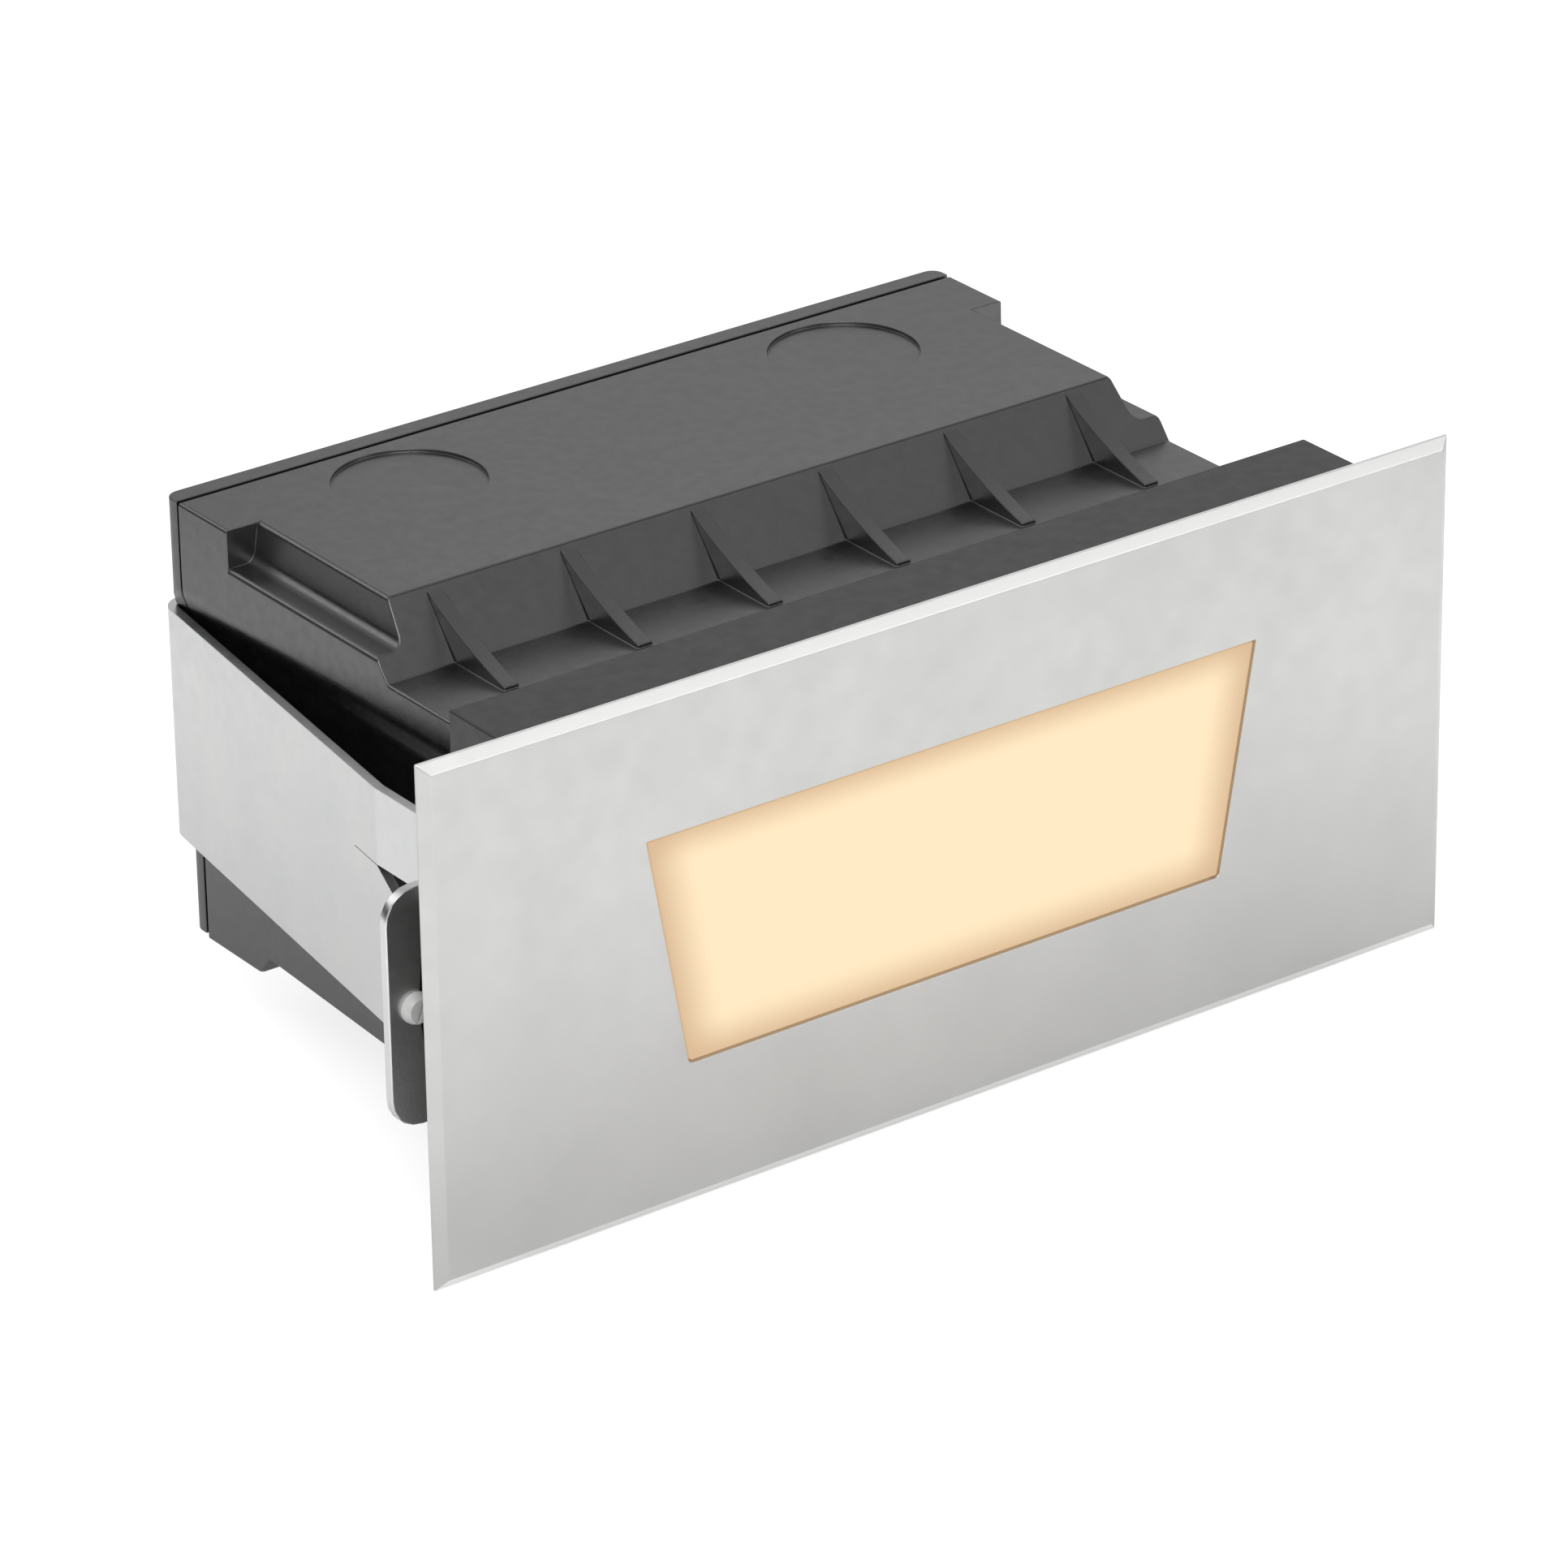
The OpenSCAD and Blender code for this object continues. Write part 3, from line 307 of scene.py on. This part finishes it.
def frosted_lens(tree, place):
    # Opal polycarbonate lit from behind: a warm even glow that falls off at the reflector's edges
    axes = add(tree, "ShaderNodeSeparateXYZ", {0: place}).outputs
    side = add(tree, MATH, {0: axes["X"]}, operation="ABSOLUTE").outputs[0]
    reach = add(tree, MATH, {0: axes["Z"], 1: WINDOW_SPLAY, 2: WINDOW_HALF},
                operation="MULTIPLY_ADD").outputs[0]
    from_side = add(tree, MATH, {0: reach, 1: side}, operation="SUBTRACT").outputs[0]
    from_top = add(tree, MATH, {0: WINDOW_RISE, 1: axes["Z"]}, operation="SUBTRACT").outputs[0]
    from_foot = add(tree, MATH, {0: WINDOW_RISE, 1: axes["Z"]}, operation="ADD").outputs[0]
    glow = 1.0
    for distance, full in ((from_side, GLOW_SIDE), (from_top, GLOW_TOP), (from_foot, GLOW_FOOT)):
        soft = add(tree, RAMP, {"Value": distance, 1: GLOW_START, 2: full, 3: 0.0, 4: 1.0},
                   interpolation_type="SMOOTHSTEP").outputs[0]
        glow = add(tree, MATH, {0: glow, 1: soft}, operation="MULTIPLY").outputs[0]
    warm = add(tree, "ShaderNodeMix", {0: glow, 6: linear("#D2AC80"), 7: linear("#FDE4BA")},
               data_type="RGBA")
    fine = add(tree, "ShaderNodeBump", {"Height": grain(tree, place, 0.5), "Distance": 0.004*MM})
    return {"Base Color": linear("#54524E"), "Roughness": 0.55, "IOR": 1.49, "Normal": fine.outputs[0],
            "Emission Color": warm.outputs[2], "Emission Strength": 0.92}


def white_solder_mask(tree, place):
    # Aluminium-backed board under white solder mask: smooth, with the copper just showing as a shade
    copper = add(tree, "ShaderNodeTexBrick", {
        "Vector": place, "Scale": per(COPPER), "Mortar Size": 0.05, "Color1": linear("#DADEDB"),
        "Color2": linear("#DDE1DE"), "Mortar": linear("#CBD0CC")})
    return {"Base Color": copper.outputs["Color"], "Roughness": grain(tree, place, 2, 0.30, 0.38)}


def extruded_aluminium(tree, place):
    # Aluminium, extruded and left bare: die lines along its length and a mild shine
    drawn = add(tree, "ShaderNodeMapping", {"Vector": place, "Scale": (1, 1, 1/DIE_STRETCH)}).outputs[0]
    lines = grain(tree, drawn, DIE_LINES, detail=3)
    base = add(tree, "ShaderNodeMix", {0: lines, 6: linear("#AEB1B4"), 7: linear("#C2C4C6")},
               data_type="RGBA")
    bump = add(tree, "ShaderNodeBump", {"Height": lines, "Distance": 0.01*MM})
    return {"Base Color": base.outputs[2], "Metallic": 1.0, "Roughness": grain(tree, place, 2.5, 0.28, 0.40),
            "Normal": bump.outputs[0]}


def green_laminate(tree, place):
    # Glass-epoxy board under green solder mask: darker where no copper lies below
    tracks = add(tree, "ShaderNodeTexVoronoi", {"Vector": place, "Scale": per(TRACKS)},
                 feature="DISTANCE_TO_EDGE").outputs[0]
    edge = add(tree, RAMP, {"Value": tracks, 1: 0.03, 2: 0.07, 3: 0, 4: 1}).outputs[0]
    base = add(tree, "ShaderNodeMix", {0: edge, 6: linear("#3E8A57"), 7: linear("#1F5A36")},
               data_type="RGBA")
    return {"Base Color": base.outputs[2], "Roughness": grain(tree, place, 3, 0.28, 0.40)}


# Plain surfaces: name, colours, clouds, roughness, its patches, relief and other sockets, as surface() takes
# them
SURFACES = {
    # Spring sheet, tumbled after bending: a little brighter than the plate, with rubbed clouds and scuffs
    "bracket_steel": ("tumbled_spring_stainless", ("#D0D1D1", "#D6D6D5"), (16, 4), (0.28, 0.36), (3, 4),
                      (0.8, 3, 0.008), METAL),
    # Filled polycarbonate from a spark-eroded mould: near black, a fine even grain and a bright soft sheen
    "black_plastic": ("moulded_polycarbonate", ("#080809", "#0C0C0D"), (14, 3), (0.30, 0.38), (2.5, 3),
                      (0.55, 2, 0.010), {"IOR": 1.65, "Specular IOR Level": 1.0}),
    # Glass filled polyamide of the collar: black too, but duller, as fibres lie close under its skin
    "collar_nylon": ("glass_filled_polyamide", ("#0A0A0B", "#0F0F10"), (14, 3), (0.36, 0.44), (2.5, 3),
                     (0.55, 2, 0.010), {"IOR": 1.53, "Specular IOR Level": 0.6}),
    # EPDM, pressed: matt black with a slight bloom
    "black_rubber": ("pressed_epdm", ("#161616", "#1F1F1F"), (6, 3), (0.72, 0.86), (1.5, 2), (0.4, 2, 0.02)),
    # Steel, cold headed and bright zinc plated: silvery, a little uneven in its shine
    "zinc_plate": ("zinc_plated_steel", ("#D3D5D7", "#E4E5E6"), (1.6, 2), (0.22, 0.36), (0.6, 2), None,
                   METAL),
    # Steel heads coloured near white, a painted highlight standing in for their bright reflection: a soft
    # shine with tiny orange peel
    "white_screw": ("white_coated_steel", ("#D9D9D8", "#E3E3E2"), (1.2, 2), (0.30, 0.42), (0.5, 2),
                    (0.35, 2, 0.006)),
    # Aluminium, die cast and powder coated charcoal: a fine pebble and a dull shine
    "dark_casting": ("powder_coated_die_casting", ("#2F3032", "#393A3C"), (9, 3), (0.48, 0.60), (2, 2),
                     (0.8, 3, 0.03)),
    # ABS, moulded in a polished mould: bright white with a clean shine
    "white_reflector": ("polished_mould_abs", ("#E6E6E2", "#EDEDEA"), (12, 2), (0.16, 0.24), (4, 2)),
    # Silicone with phosphor, dispensed: yellow, glossy and slightly uneven
    "yellow_chip": ("phosphor_silicone", ("#E8B92E", "#F6D25A"), (0.7, 2), (0.18, 0.30), (0.5, 2)),
    # Filled silicone sheet, calendered: matt blue-grey with a speckled filler
    "grey_pad": ("filled_silicone_pad", ("#7C8A98", "#93A2B0"), (0.6, 3), (0.66, 0.80), (1.2, 2),
                 (0.6, 2, 0.02)),
    # Sheet steel, powder coated grey: a fine orange peel
    "grey_case": ("powder_coated_sheet", ("#55585A", "#5F6264"), (10, 3), (0.42, 0.54), (2, 2),
                  (0.9, 2, 0.02)),
    # Polyamide, moulded: ivory, waxy and slightly mottled
    "ivory_plastic": ("moulded_polyamide", ("#DAD5C6", "#E4E0D3"), (4, 3), (0.38, 0.50), (1.5, 2), None,
                      {"Subsurface Weight": 0.15, "Subsurface Scale": 1*MM}),
    # Brass, turned on a lathe: warm yellow with a bright cut
    "brass_screw": ("turned_brass", ("#C79F4E", "#D8B466"), (1, 2), (0.20, 0.34), (0.4, 2), None, METAL),
    # Steel, zinc plated and dyed green, as earth screws are
    "green_screw": ("green_passivated_steel", ("#3F8F52", "#57A768"), (1, 2), (0.28, 0.42), (0.5, 2), None,
                    METAL),
}
MATERIALS = {
    "satin_steel": material("bead_blasted_stainless", satin_stainless),
    "frosted_lens": material("opal_polycarbonate", frosted_lens),
    "white_board": material("white_solder_mask", white_solder_mask),
    "bare_aluminium": material("extruded_aluminium", extruded_aluminium),
    "green_board": material("glass_epoxy_board", green_laminate),
    **{slot: material(name, surface, *row) for slot, (name, *row) in SURFACES.items()},
}


# Pieces
# Edge radii in millimetres, as each piece's making leaves them, and the angle past which an edge is rounded
SOFTENED = {
    "faceplate": (0.18, 25), "faceplate_studs": (0.15, 40), "stud_grommets": (0.25, 40),
    "plate_gasket": (0.12, 40), "collar": (0.35, 40), "collar_gasket": (0.08, 40),
    "lens": (0.2, 40), "lens_gasket": (0.1, 40), "lens_bezel": (0.3, 40), "engine_housing": (0.5, 40),
    "reflector": (0.15, 40), "led_board": (0.12, 40), "led_chips": (0.12, 40), "thermal_pad": (0.12, 40),
    "heat_sink": (0.2, 40), "wire_grommet": (0.25, 40), "back_box": (0.3, 35), "rear_gasket": (0.08, 40),
    "rear_cover": (0.3, 35), "back_strap": (0.25, 40), "left_spring_arm": (0.25, 40),
    "right_spring_arm": (0.25, 40), "left_ear_nut": (0.2, 40), "right_ear_nut": (0.2, 40),
    "driver_case": (0.4, 40), "driver_board": (0.15, 40), "driver_cover": (0.3, 40),
    "terminal_block": (0.3, 40),
}
# Places with another radius: lowest and highest corner of a region, x counted from the middle plane, and
# radius. The first region that holds an edge's middle counts
SLIT = ((0, 32, 14.8), (110, 43, 15.2), 0.03)
EAR_FRONT = ((104, 11.9, -30), (120, 12.1, 30), 0.85)
OTHER_RADII = {
    "back_box": [
        # Rear end of the ledge: the meetings with the deck and the side, and its wall
        ((79, 98.8, 50.8), (82.4, 99.6, 51.99), 0.04),
        ((86.5, 98.8, 42), (88.2, 99.6, 44.6), 0.04),
        ((79, 98.8, 43), (90, 99.6, 53), 0.2),
        # Ledge, and its front end
        ((80, 46, 43), (90, 100, 53), 0.35),
        ((85, 47.5, 39), (90, 52, 46), 0.25),
        # Knockouts, then gussets and leaning face
        ((0, 80, 51), (66, 113, 52.5), 0.15),
        ((0, 30, 39.9), (78, 60, 51.7), 0.25),
        # Rim of the deck, box sides, and corner of the leaning face
        ((0, 18, 51.9), (90, 116, 53), 0.7),
        ((85.9, 18, -40), (90, 115, 53), 0.7),
        ((80.5, 46, 44), (83.5, 59, 52), 0.7),
    ],
    # Inner edges and screw recesses, left sharp
    "collar": [((0, 3.5, -48.4), (94.8, 24.2, 48.4), 0.0)],
    "left_spring_arm": [SLIT, EAR_FRONT],
    "right_spring_arm": [SLIT, EAR_FRONT],
}
# Pieces whose flat faces meet at slivers far thinner than paint, which would be rounded like edges
FINE_SLIVERS = {"left_spring_arm", "right_spring_arm"}
# Ways to lay out the faces before rounding, with the share of the radius, the best first
WAYS = [("merged", 1.0), ("convex", 1.0), ("triangles", 1.0), ("convex", 0.6), ("triangles", 0.6),
        ("triangles", 0.35)]
# Area in square millimetres of turned-over faces below which a way is good enough
FOLDED = 0.1
# Points nearer than this are one, and faces that meet at less than this angle in degrees are one
WELD, FLAT = 0.004*MM, 0.6
# Steps across a rounded edge, and the angle in degrees within which faces share their shading
STEPS, SHARED = 3, 50
# Pieces with another material than their slot's
FINISH = {"back_strap": "bracket_steel", "left_spring_arm": "bracket_steel",
          "right_spring_arm": "bracket_steel", "collar": "collar_nylon"}


def settle(piece, name):
    """Turns a piece's modifiers into plain mesh, and puts it in its CAD node's place and body."""
    shown = piece.evaluated_get(bpy.context.evaluated_depsgraph_get())
    mesh = bpy.data.meshes.new_from_object(shown)
    piece.modifiers.clear()
    piece.data = mesh
    mesh.name = piece.name
    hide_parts(name)
    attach(piece, body_of[name])
    return piece


def radius_at(name, place, usual):
    """Edge radius of a piece at a place in millimetres."""
    spot = (abs(place.x), place.y, place.z)
    for low, high, radius in OTHER_RADII.get(name, []):
        if all(a <= value <= b for a, value, b in zip(low, spot, high)):
            return radius
    return usual


def folded(mesh):
    """Area in square millimetres of the parts of faces that are turned over."""
    mesh.calc_loop_triangles()
    total = 0.0
    for part in mesh.loop_triangles:
        a, b, c = (mesh.vertices[i].co for i in part.vertices)
        total += max(0.0, (b - a).cross(c - a).dot(-mesh.polygons[part.polygon_index].normal))/2/MM/MM
    return total


def weigh_normals(mesh):
    """Shades wide faces flat and lets the narrow faces beside them turn from one to the other."""
    limit = math.cos(math.radians(SHARED))
    faces = [(face.normal.copy(), face.area) for face in mesh.polygons]
    around = [[] for vertex in mesh.vertices]
    for face in mesh.polygons:
        for vertex in face.vertices:
            around[vertex].append(face.index)
    normals = [None]*len(mesh.loops)
    for face in mesh.polygons:
        own = faces[face.index][0]
        for loop, vertex in zip(face.loop_indices, face.vertices):
            total = Vector()
            for other in around[vertex]:
                normal, area = faces[other]
                if normal.dot(own) > limit:
                    total += normal*area
            normals[loop] = total.normalized() if total.length > 0 else own
    mesh.normals_split_custom_set(normals)


def rounded(name, usual, angle, way, part):
    """A copy of a CAD node with part of the radius on every edge sharper than the angle."""
    mesh = frame["nodes"][name].data.copy()
    build = bmesh.new()
    build.from_mesh(mesh)
    bmesh.ops.remove_doubles(build, verts=build.verts, dist=WELD)
    if name in FINE_SLIVERS:
        bmesh.ops.dissolve_degenerate(build, dist=WELD, edges=build.edges)
    if way != "triangles":
        bmesh.ops.dissolve_limit(build, angle_limit=math.radians(FLAT), verts=build.verts, edges=build.edges)
    if way == "convex":
        bmesh.ops.connect_verts_concave(build, faces=build.faces)
    for face in build.faces:
        face.smooth = True
    widest = max([usual] + [radius for low, high, radius in OTHER_RADII.get(name, [])])
    share = build.edges.layers.float.new("bevel_weight_edge")
    for edge in build.edges:
        if len(edge.link_faces) == 2 and edge.calc_face_angle() > math.radians(angle):
            middle = (edge.verts[0].co + edge.verts[1].co)/2/MM
            edge[share] = radius_at(name, middle, usual)/widest
    build.to_mesh(mesh)
    build.free()
    mesh.materials.clear()
    mesh.materials.append(MATERIALS[FINISH.get(name, slot_of[name])])
    piece = bpy.data.objects.new(name + "_finished", mesh)
    scene.collection.objects.link(piece)
    bevel = piece.modifiers.new("edge_radius", "BEVEL")
    bevel.width, bevel.segments, bevel.limit_method = widest*part*MM, STEPS, "WEIGHT"
    bevel.use_clamp_overlap = False
    bevel.miter_outer = "MITER_ARC"
    return settle(piece, name)


def soften(name, usual, angle):
    """The rounded copy, made in the way that turns the least of its faces over."""
    tried = []
    # The back box has one way, because the others reach past its CAD box
    for way, part in WAYS[:1] if name == "back_box" else WAYS:
        piece = rounded(name, usual, angle, way, part)
        tried.append((folded(piece.data), way, part))
        if tried[-1][0] < FOLDED:
            break
        bpy.data.objects.remove(piece)
    else:
        piece = rounded(name, usual, angle, *min(tried)[1:])
    weigh_normals(piece.data)


# Screws
# Sides and rings of a head, sides of a shank, and rings to each turn of its thread
HEAD_SIDES, HEAD_RINGS, SHANK_SIDES, THREAD_RINGS = 40, 8, 20, 6
# How late the crown draws the head in, and the angle in degrees past which an edge is shaded sharp
CROWN_POWER, SHARP = 2.6, 38


def screw_tree():
    """Screws on every point of a mesh: a crowned head with a cross or slot, and a threaded shank."""
    tree = bpy.data.node_groups.new("screws", "GeometryNodeTree")
    for name, kind in (("Points", "Geometry"), ("Foot Diameter", "Float"), ("Head Diameter", "Float"),
                       ("Crown", "Float"), ("Head Height", "Float"), ("Shank Diameter", "Float"),
                       ("Shank Length", "Float"), ("Pitch", "Float"), ("Thread Depth", "Float"),
                       ("Slot Width", "Float"), ("Slot Length", "Float"), ("Slot Depth", "Float"),
                       ("Cross", "Bool"), ("Turn", "Vector"), ("Spin", "Float"), ("Spread", "Float"),
                       ("Seed", "Int"), ("Finish", "Material")):
        tree.interface.new_socket(name, in_out="INPUT", socket_type="NodeSocket" + kind)
    tree.interface.new_socket("Screws", in_out="OUTPUT", socket_type="NodeSocketGeometry")
    given = add(tree, "NodeGroupInput").outputs
    place = add(tree, "GeometryNodeInputPosition").outputs[0]
    axes = add(tree, "ShaderNodeSeparateXYZ", {0: place}).outputs
    foot, rim, shaft = (add(tree, MATH, {0: given[name], 1: 0.5}, operation="MULTIPLY").outputs[0]
                        for name in ("Foot Diameter", "Head Diameter", "Shank Diameter"))

    # Head: a cone from foot to rim, its sides drawn in towards the top by the crown
    head = add(tree, "GeometryNodeMeshCone", {
        "Vertices": HEAD_SIDES, "Side Segments": HEAD_RINGS, "Fill Segments": 1, "Radius Bottom": foot,
        "Radius Top": rim, "Depth": given["Head Height"]}).outputs["Mesh"]
    rise = add(tree, MATH, {0: axes["Z"], 1: given["Head Height"]}, operation="DIVIDE").outputs[0]
    rise = add(tree, MATH, {0: rise, 1: CROWN_POWER}, operation="POWER").outputs[0]
    drawn = add(tree, MATH, {0: rise, 1: given["Crown"]}, operation="MULTIPLY").outputs[0]
    drawn = add(tree, MATH, {0: 1.0, 1: drawn}, operation="SUBTRACT").outputs[0]
    drawn = add(tree, "ShaderNodeCombineXYZ", {0: drawn, 1: drawn, 2: 1.0}).outputs[0]
    drawn = add(tree, VECTORS, {0: place, 1: drawn}, operation="MULTIPLY").outputs[0]
    head = add(tree, "GeometryNodeSetPosition", {"Geometry": head, "Position": drawn}).outputs[0]
    # Its slot, or two slots across each other, cut down from the top
    reach = add(tree, MATH, {0: given["Slot Depth"], 1: 2.0}, operation="MULTIPLY").outputs[0]
    reach = add(tree, "ShaderNodeCombineXYZ", {0: given["Slot Length"], 1: given["Slot Width"], 2: reach})
    slot = add(tree, "GeometryNodeMeshCube", {"Size": reach.outputs[0]}).outputs["Mesh"]
    second = add(tree, "GeometryNodeTransform", {"Geometry": slot, "Rotation": (0, 0, math.pi/2)}).outputs[0]
    crossed = add(tree, "GeometryNodeMeshBoolean", {"Mesh 2": slot}, operation="UNION", solver="EXACT")
    tree.links.new(second, crossed.inputs["Mesh 2"])
    recess = add(tree, "GeometryNodeSwitch", {"Switch": given["Cross"], "False": slot,
                                              "True": crossed.outputs[0]}, input_type="GEOMETRY").outputs[0]
    top = add(tree, "ShaderNodeCombineXYZ", {2: given["Head Height"]}).outputs[0]
    recess = add(tree, "GeometryNodeTransform", {"Geometry": recess, "Translation": top}).outputs[0]
    head = add(tree, "GeometryNodeMeshBoolean", {"Mesh 1": head, "Mesh 2": recess}, operation="DIFFERENCE",
               solver="EXACT").outputs[0]

    # Shank: its thread is cut into it as a helix
    turns = add(tree, MATH, {0: given["Shank Length"], 1: given["Pitch"]}, operation="DIVIDE").outputs[0]
    rings = add(tree, MATH, {0: turns, 1: THREAD_RINGS}, operation="MULTIPLY").outputs[0]
    rings = add(tree, "FunctionNodeFloatToInt", {0: rings}).outputs[0]
    shank = add(tree, "GeometryNodeMeshCone", {
        "Vertices": SHANK_SIDES, "Side Segments": rings, "Fill Segments": 1, "Radius Bottom": shaft,
        "Radius Top": shaft, "Depth": given["Shank Length"]}).outputs["Mesh"]
    bearing = add(tree, MATH, {0: axes["Y"], 1: axes["X"]}, operation="ARCTAN2").outputs[0]
    wave = add(tree, MATH, {0: axes["Z"], 1: given["Pitch"]}, operation="DIVIDE").outputs[0]
    wave = add(tree, MATH, {0: wave, 1: 2*math.pi, 2: bearing}, operation="MULTIPLY_ADD").outputs[0]
    wave = add(tree, MATH, {0: wave}, operation="COSINE").outputs[0]
    cut = add(tree, MATH, {0: wave, 1: 0.5, 2: 0.5}, operation="MULTIPLY_ADD").outputs[0]
    cut = add(tree, MATH, {0: cut, 1: given["Thread Depth"]}, operation="MULTIPLY").outputs[0]
    cut = add(tree, MATH, {0: cut, 1: shaft}, operation="DIVIDE").outputs[0]
    left = add(tree, MATH, {0: 1.0, 1: cut}, operation="SUBTRACT").outputs[0]
    left = add(tree, "ShaderNodeCombineXYZ", {0: left, 1: left, 2: 1.0}).outputs[0]
    left = add(tree, VECTORS, {0: place, 1: left}, operation="MULTIPLY").outputs[0]
    shank = add(tree, "GeometryNodeSetPosition", {"Geometry": shank, "Position": left}).outputs[0]
    down = add(tree, MATH, {0: given["Shank Length"], 1: -1.0}, operation="MULTIPLY").outputs[0]
    down = add(tree, "ShaderNodeCombineXYZ", {2: down}).outputs[0]
    shank = add(tree, "GeometryNodeTransform", {"Geometry": shank, "Translation": down}).outputs[0]

    # The whole screw, laid on each point with its own turn
    screw = add(tree, "GeometryNodeJoinGeometry", {"Geometry": shank})
    tree.links.new(head, screw.inputs[0])
    angle = add(tree, "GeometryNodeInputMeshEdgeAngle").outputs["Unsigned Angle"]
    sharp = add(tree, "FunctionNodeCompare", {0: angle, 1: math.radians(SHARP)},
                operation="GREATER_THAN").outputs[0]
    smooth = add(tree, "GeometryNodeSetShadeSmooth", {"Geometry": screw.outputs[0], "Shade Smooth": True})
    smooth = add(tree, "GeometryNodeSetShadeSmooth", {
        "Geometry": smooth.outputs[0], "Selection": sharp, "Shade Smooth": False}, domain="EDGE").outputs[0]
    laid = add(tree, "GeometryNodeInstanceOnPoints", {"Points": given["Points"], "Instance": smooth,
                                                      "Rotation": given["Turn"]}).outputs[0]
    chance = add(tree, "FunctionNodeRandomValue", {2: 0.0, 3: given["Spread"], "Seed": given["Seed"]})
    spin = add(tree, MATH, {0: given["Spin"], 1: chance.outputs[1]}, operation="ADD").outputs[0]
    spin = add(tree, "ShaderNodeCombineXYZ", {2: spin}).outputs[0]
    laid = add(tree, "GeometryNodeRotateInstances", {"Instances": laid, "Rotation": spin}).outputs[0]
    plain = add(tree, "GeometryNodeRealizeInstances", {"Geometry": laid}).outputs[0]
    done = add(tree, "GeometryNodeSetMaterial", {"Geometry": plain, "Material": given["Finish"]}).outputs[0]
    add(tree, "NodeGroupOutput", {"Screws": done})
    return tree


FRONT, REAR, UP = "front", "rear", "up"
TURNS = {FRONT: (math.pi/2, 0, 0), REAR: (-math.pi/2, 0, 0), UP: (0, 0, 0)}
# Screws: way the heads face, count along x, count along the other way, and sizes in millimetres. Crown is a
# share, and Spin and Spread are the turn of the slot in radians and how much more it may be
PAN = {"Head Diameter": 5.6, "Crown": 0.34, "Head Height": 1.8, "Shank Diameter": 3, "Pitch": 0.5,
       "Thread Depth": 0.25, "Slot Width": 0.62, "Slot Length": 3.1, "Slot Depth": 1.1, "Cross": True,
       "Spread": 1.5}
COUNTERSUNK = {**PAN, "Foot Diameter": 3, "Crown": 0.0, "Head Height": 0.9, "Slot Length": 2.8,
               "Slot Depth": 0.7}
POLE = {**PAN, "Head Diameter": 4, "Crown": 0.08, "Head Height": 1.6, "Shank Diameter": 3.9,
        "Slot Width": 0.8, "Slot Length": 4.4, "Slot Depth": 0.9, "Cross": False, "Spread": 0.5}
EAR = {**PAN, "Head Diameter": 6, "Crown": 0.26, "Head Height": 1.9, "Slot Width": 0.8, "Slot Length": 6.4,
       "Slot Depth": 0.8, "Cross": False, "Spread": 0.0}
SCREWS = {
    "collar_screws": (FRONT, 2, 2, PAN),
    "engine_screws": (FRONT, 2, 2, PAN),
    "board_screws": (FRONT, 2, 1, PAN),
    "cover_screws": (REAR, 2, 2, PAN),
    "driver_screws": (UP, 2, 1, PAN),
    "earth_screw": (UP, 1, 1, PAN),
    "strap_screws": (REAR, 2, 1, COUNTERSUNK),
    "terminal_screws": (UP, 3, 1, POLE),
    "left_ear_screw": (FRONT, 1, 1, {**EAR, "Spin": 1.24}),
    "right_ear_screw": (FRONT, 1, 1, {**EAR, "Spin": 2.2}),
}
# Inputs that aren't lengths
BARE = ("Crown", "Cross", "Spin", "Spread")


def spots(low, high, count, head):
    """Evenly spaced places of heads between two ends."""
    first, last = low + head/2, high - head/2
    return [first + (last - first)*i/max(count - 1, 1) for i in range(count)]


def drive_screws(tree, seed, name, way, across, along, sizes):
    """The screws of one CAD node, each with its head where the node has it."""
    low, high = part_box(name)
    head, height = sizes["Head Diameter"]*MM, sizes["Head Height"]*MM
    rows = spots(low.z, high.z, along, head) if way != UP else spots(low.y, high.y, along, head)
    points = []
    for x in spots(low.x, high.x, across, head):
        for row in rows:
            if way == UP:
                points.append((x, row, high.z - height))
            else:
                points.append((x, low.y + height if way == FRONT else high.y - height, row))
    depth = high.z - low.z if way == UP else high.y - low.y
    mesh = bpy.data.meshes.new(name + "_turned")
    mesh.from_pydata(points, [], [])
    piece = bpy.data.objects.new(name + "_turned", mesh)
    scene.collection.objects.link(piece)
    screws = piece.modifiers.new("screws", "NODES")
    screws.node_group = tree
    plan = {"Foot Diameter": sizes["Head Diameter"], **sizes, "Shank Length": depth/MM - sizes["Head Height"]}
    values = {key: value if key in BARE else value*MM for key, value in plan.items()}
    values.update({"Turn": TURNS[way], "Seed": seed, "Finish": MATERIALS[slot_of[name]]})
    for item in tree.interface.items_tree:
        if item.in_out == "INPUT" and item.name in values:
            screws[item.identifier] = values[item.name]
    settle(piece, name)


scene.view_settings.view_transform = "Standard"
place_camera()
build_surround()
build_floor()
hang_lamps()
for name, (radius, angle) in SOFTENED.items():
    soften(name, radius, angle)
driven = screw_tree()
for seed, (name, plan) in enumerate(SCREWS.items()):
    drive_screws(driven, seed, name, *plan)

for name, node in frame["nodes"].items():
    node.data.materials.clear()
    node.data.materials.append(MATERIALS[slot_of[name]])
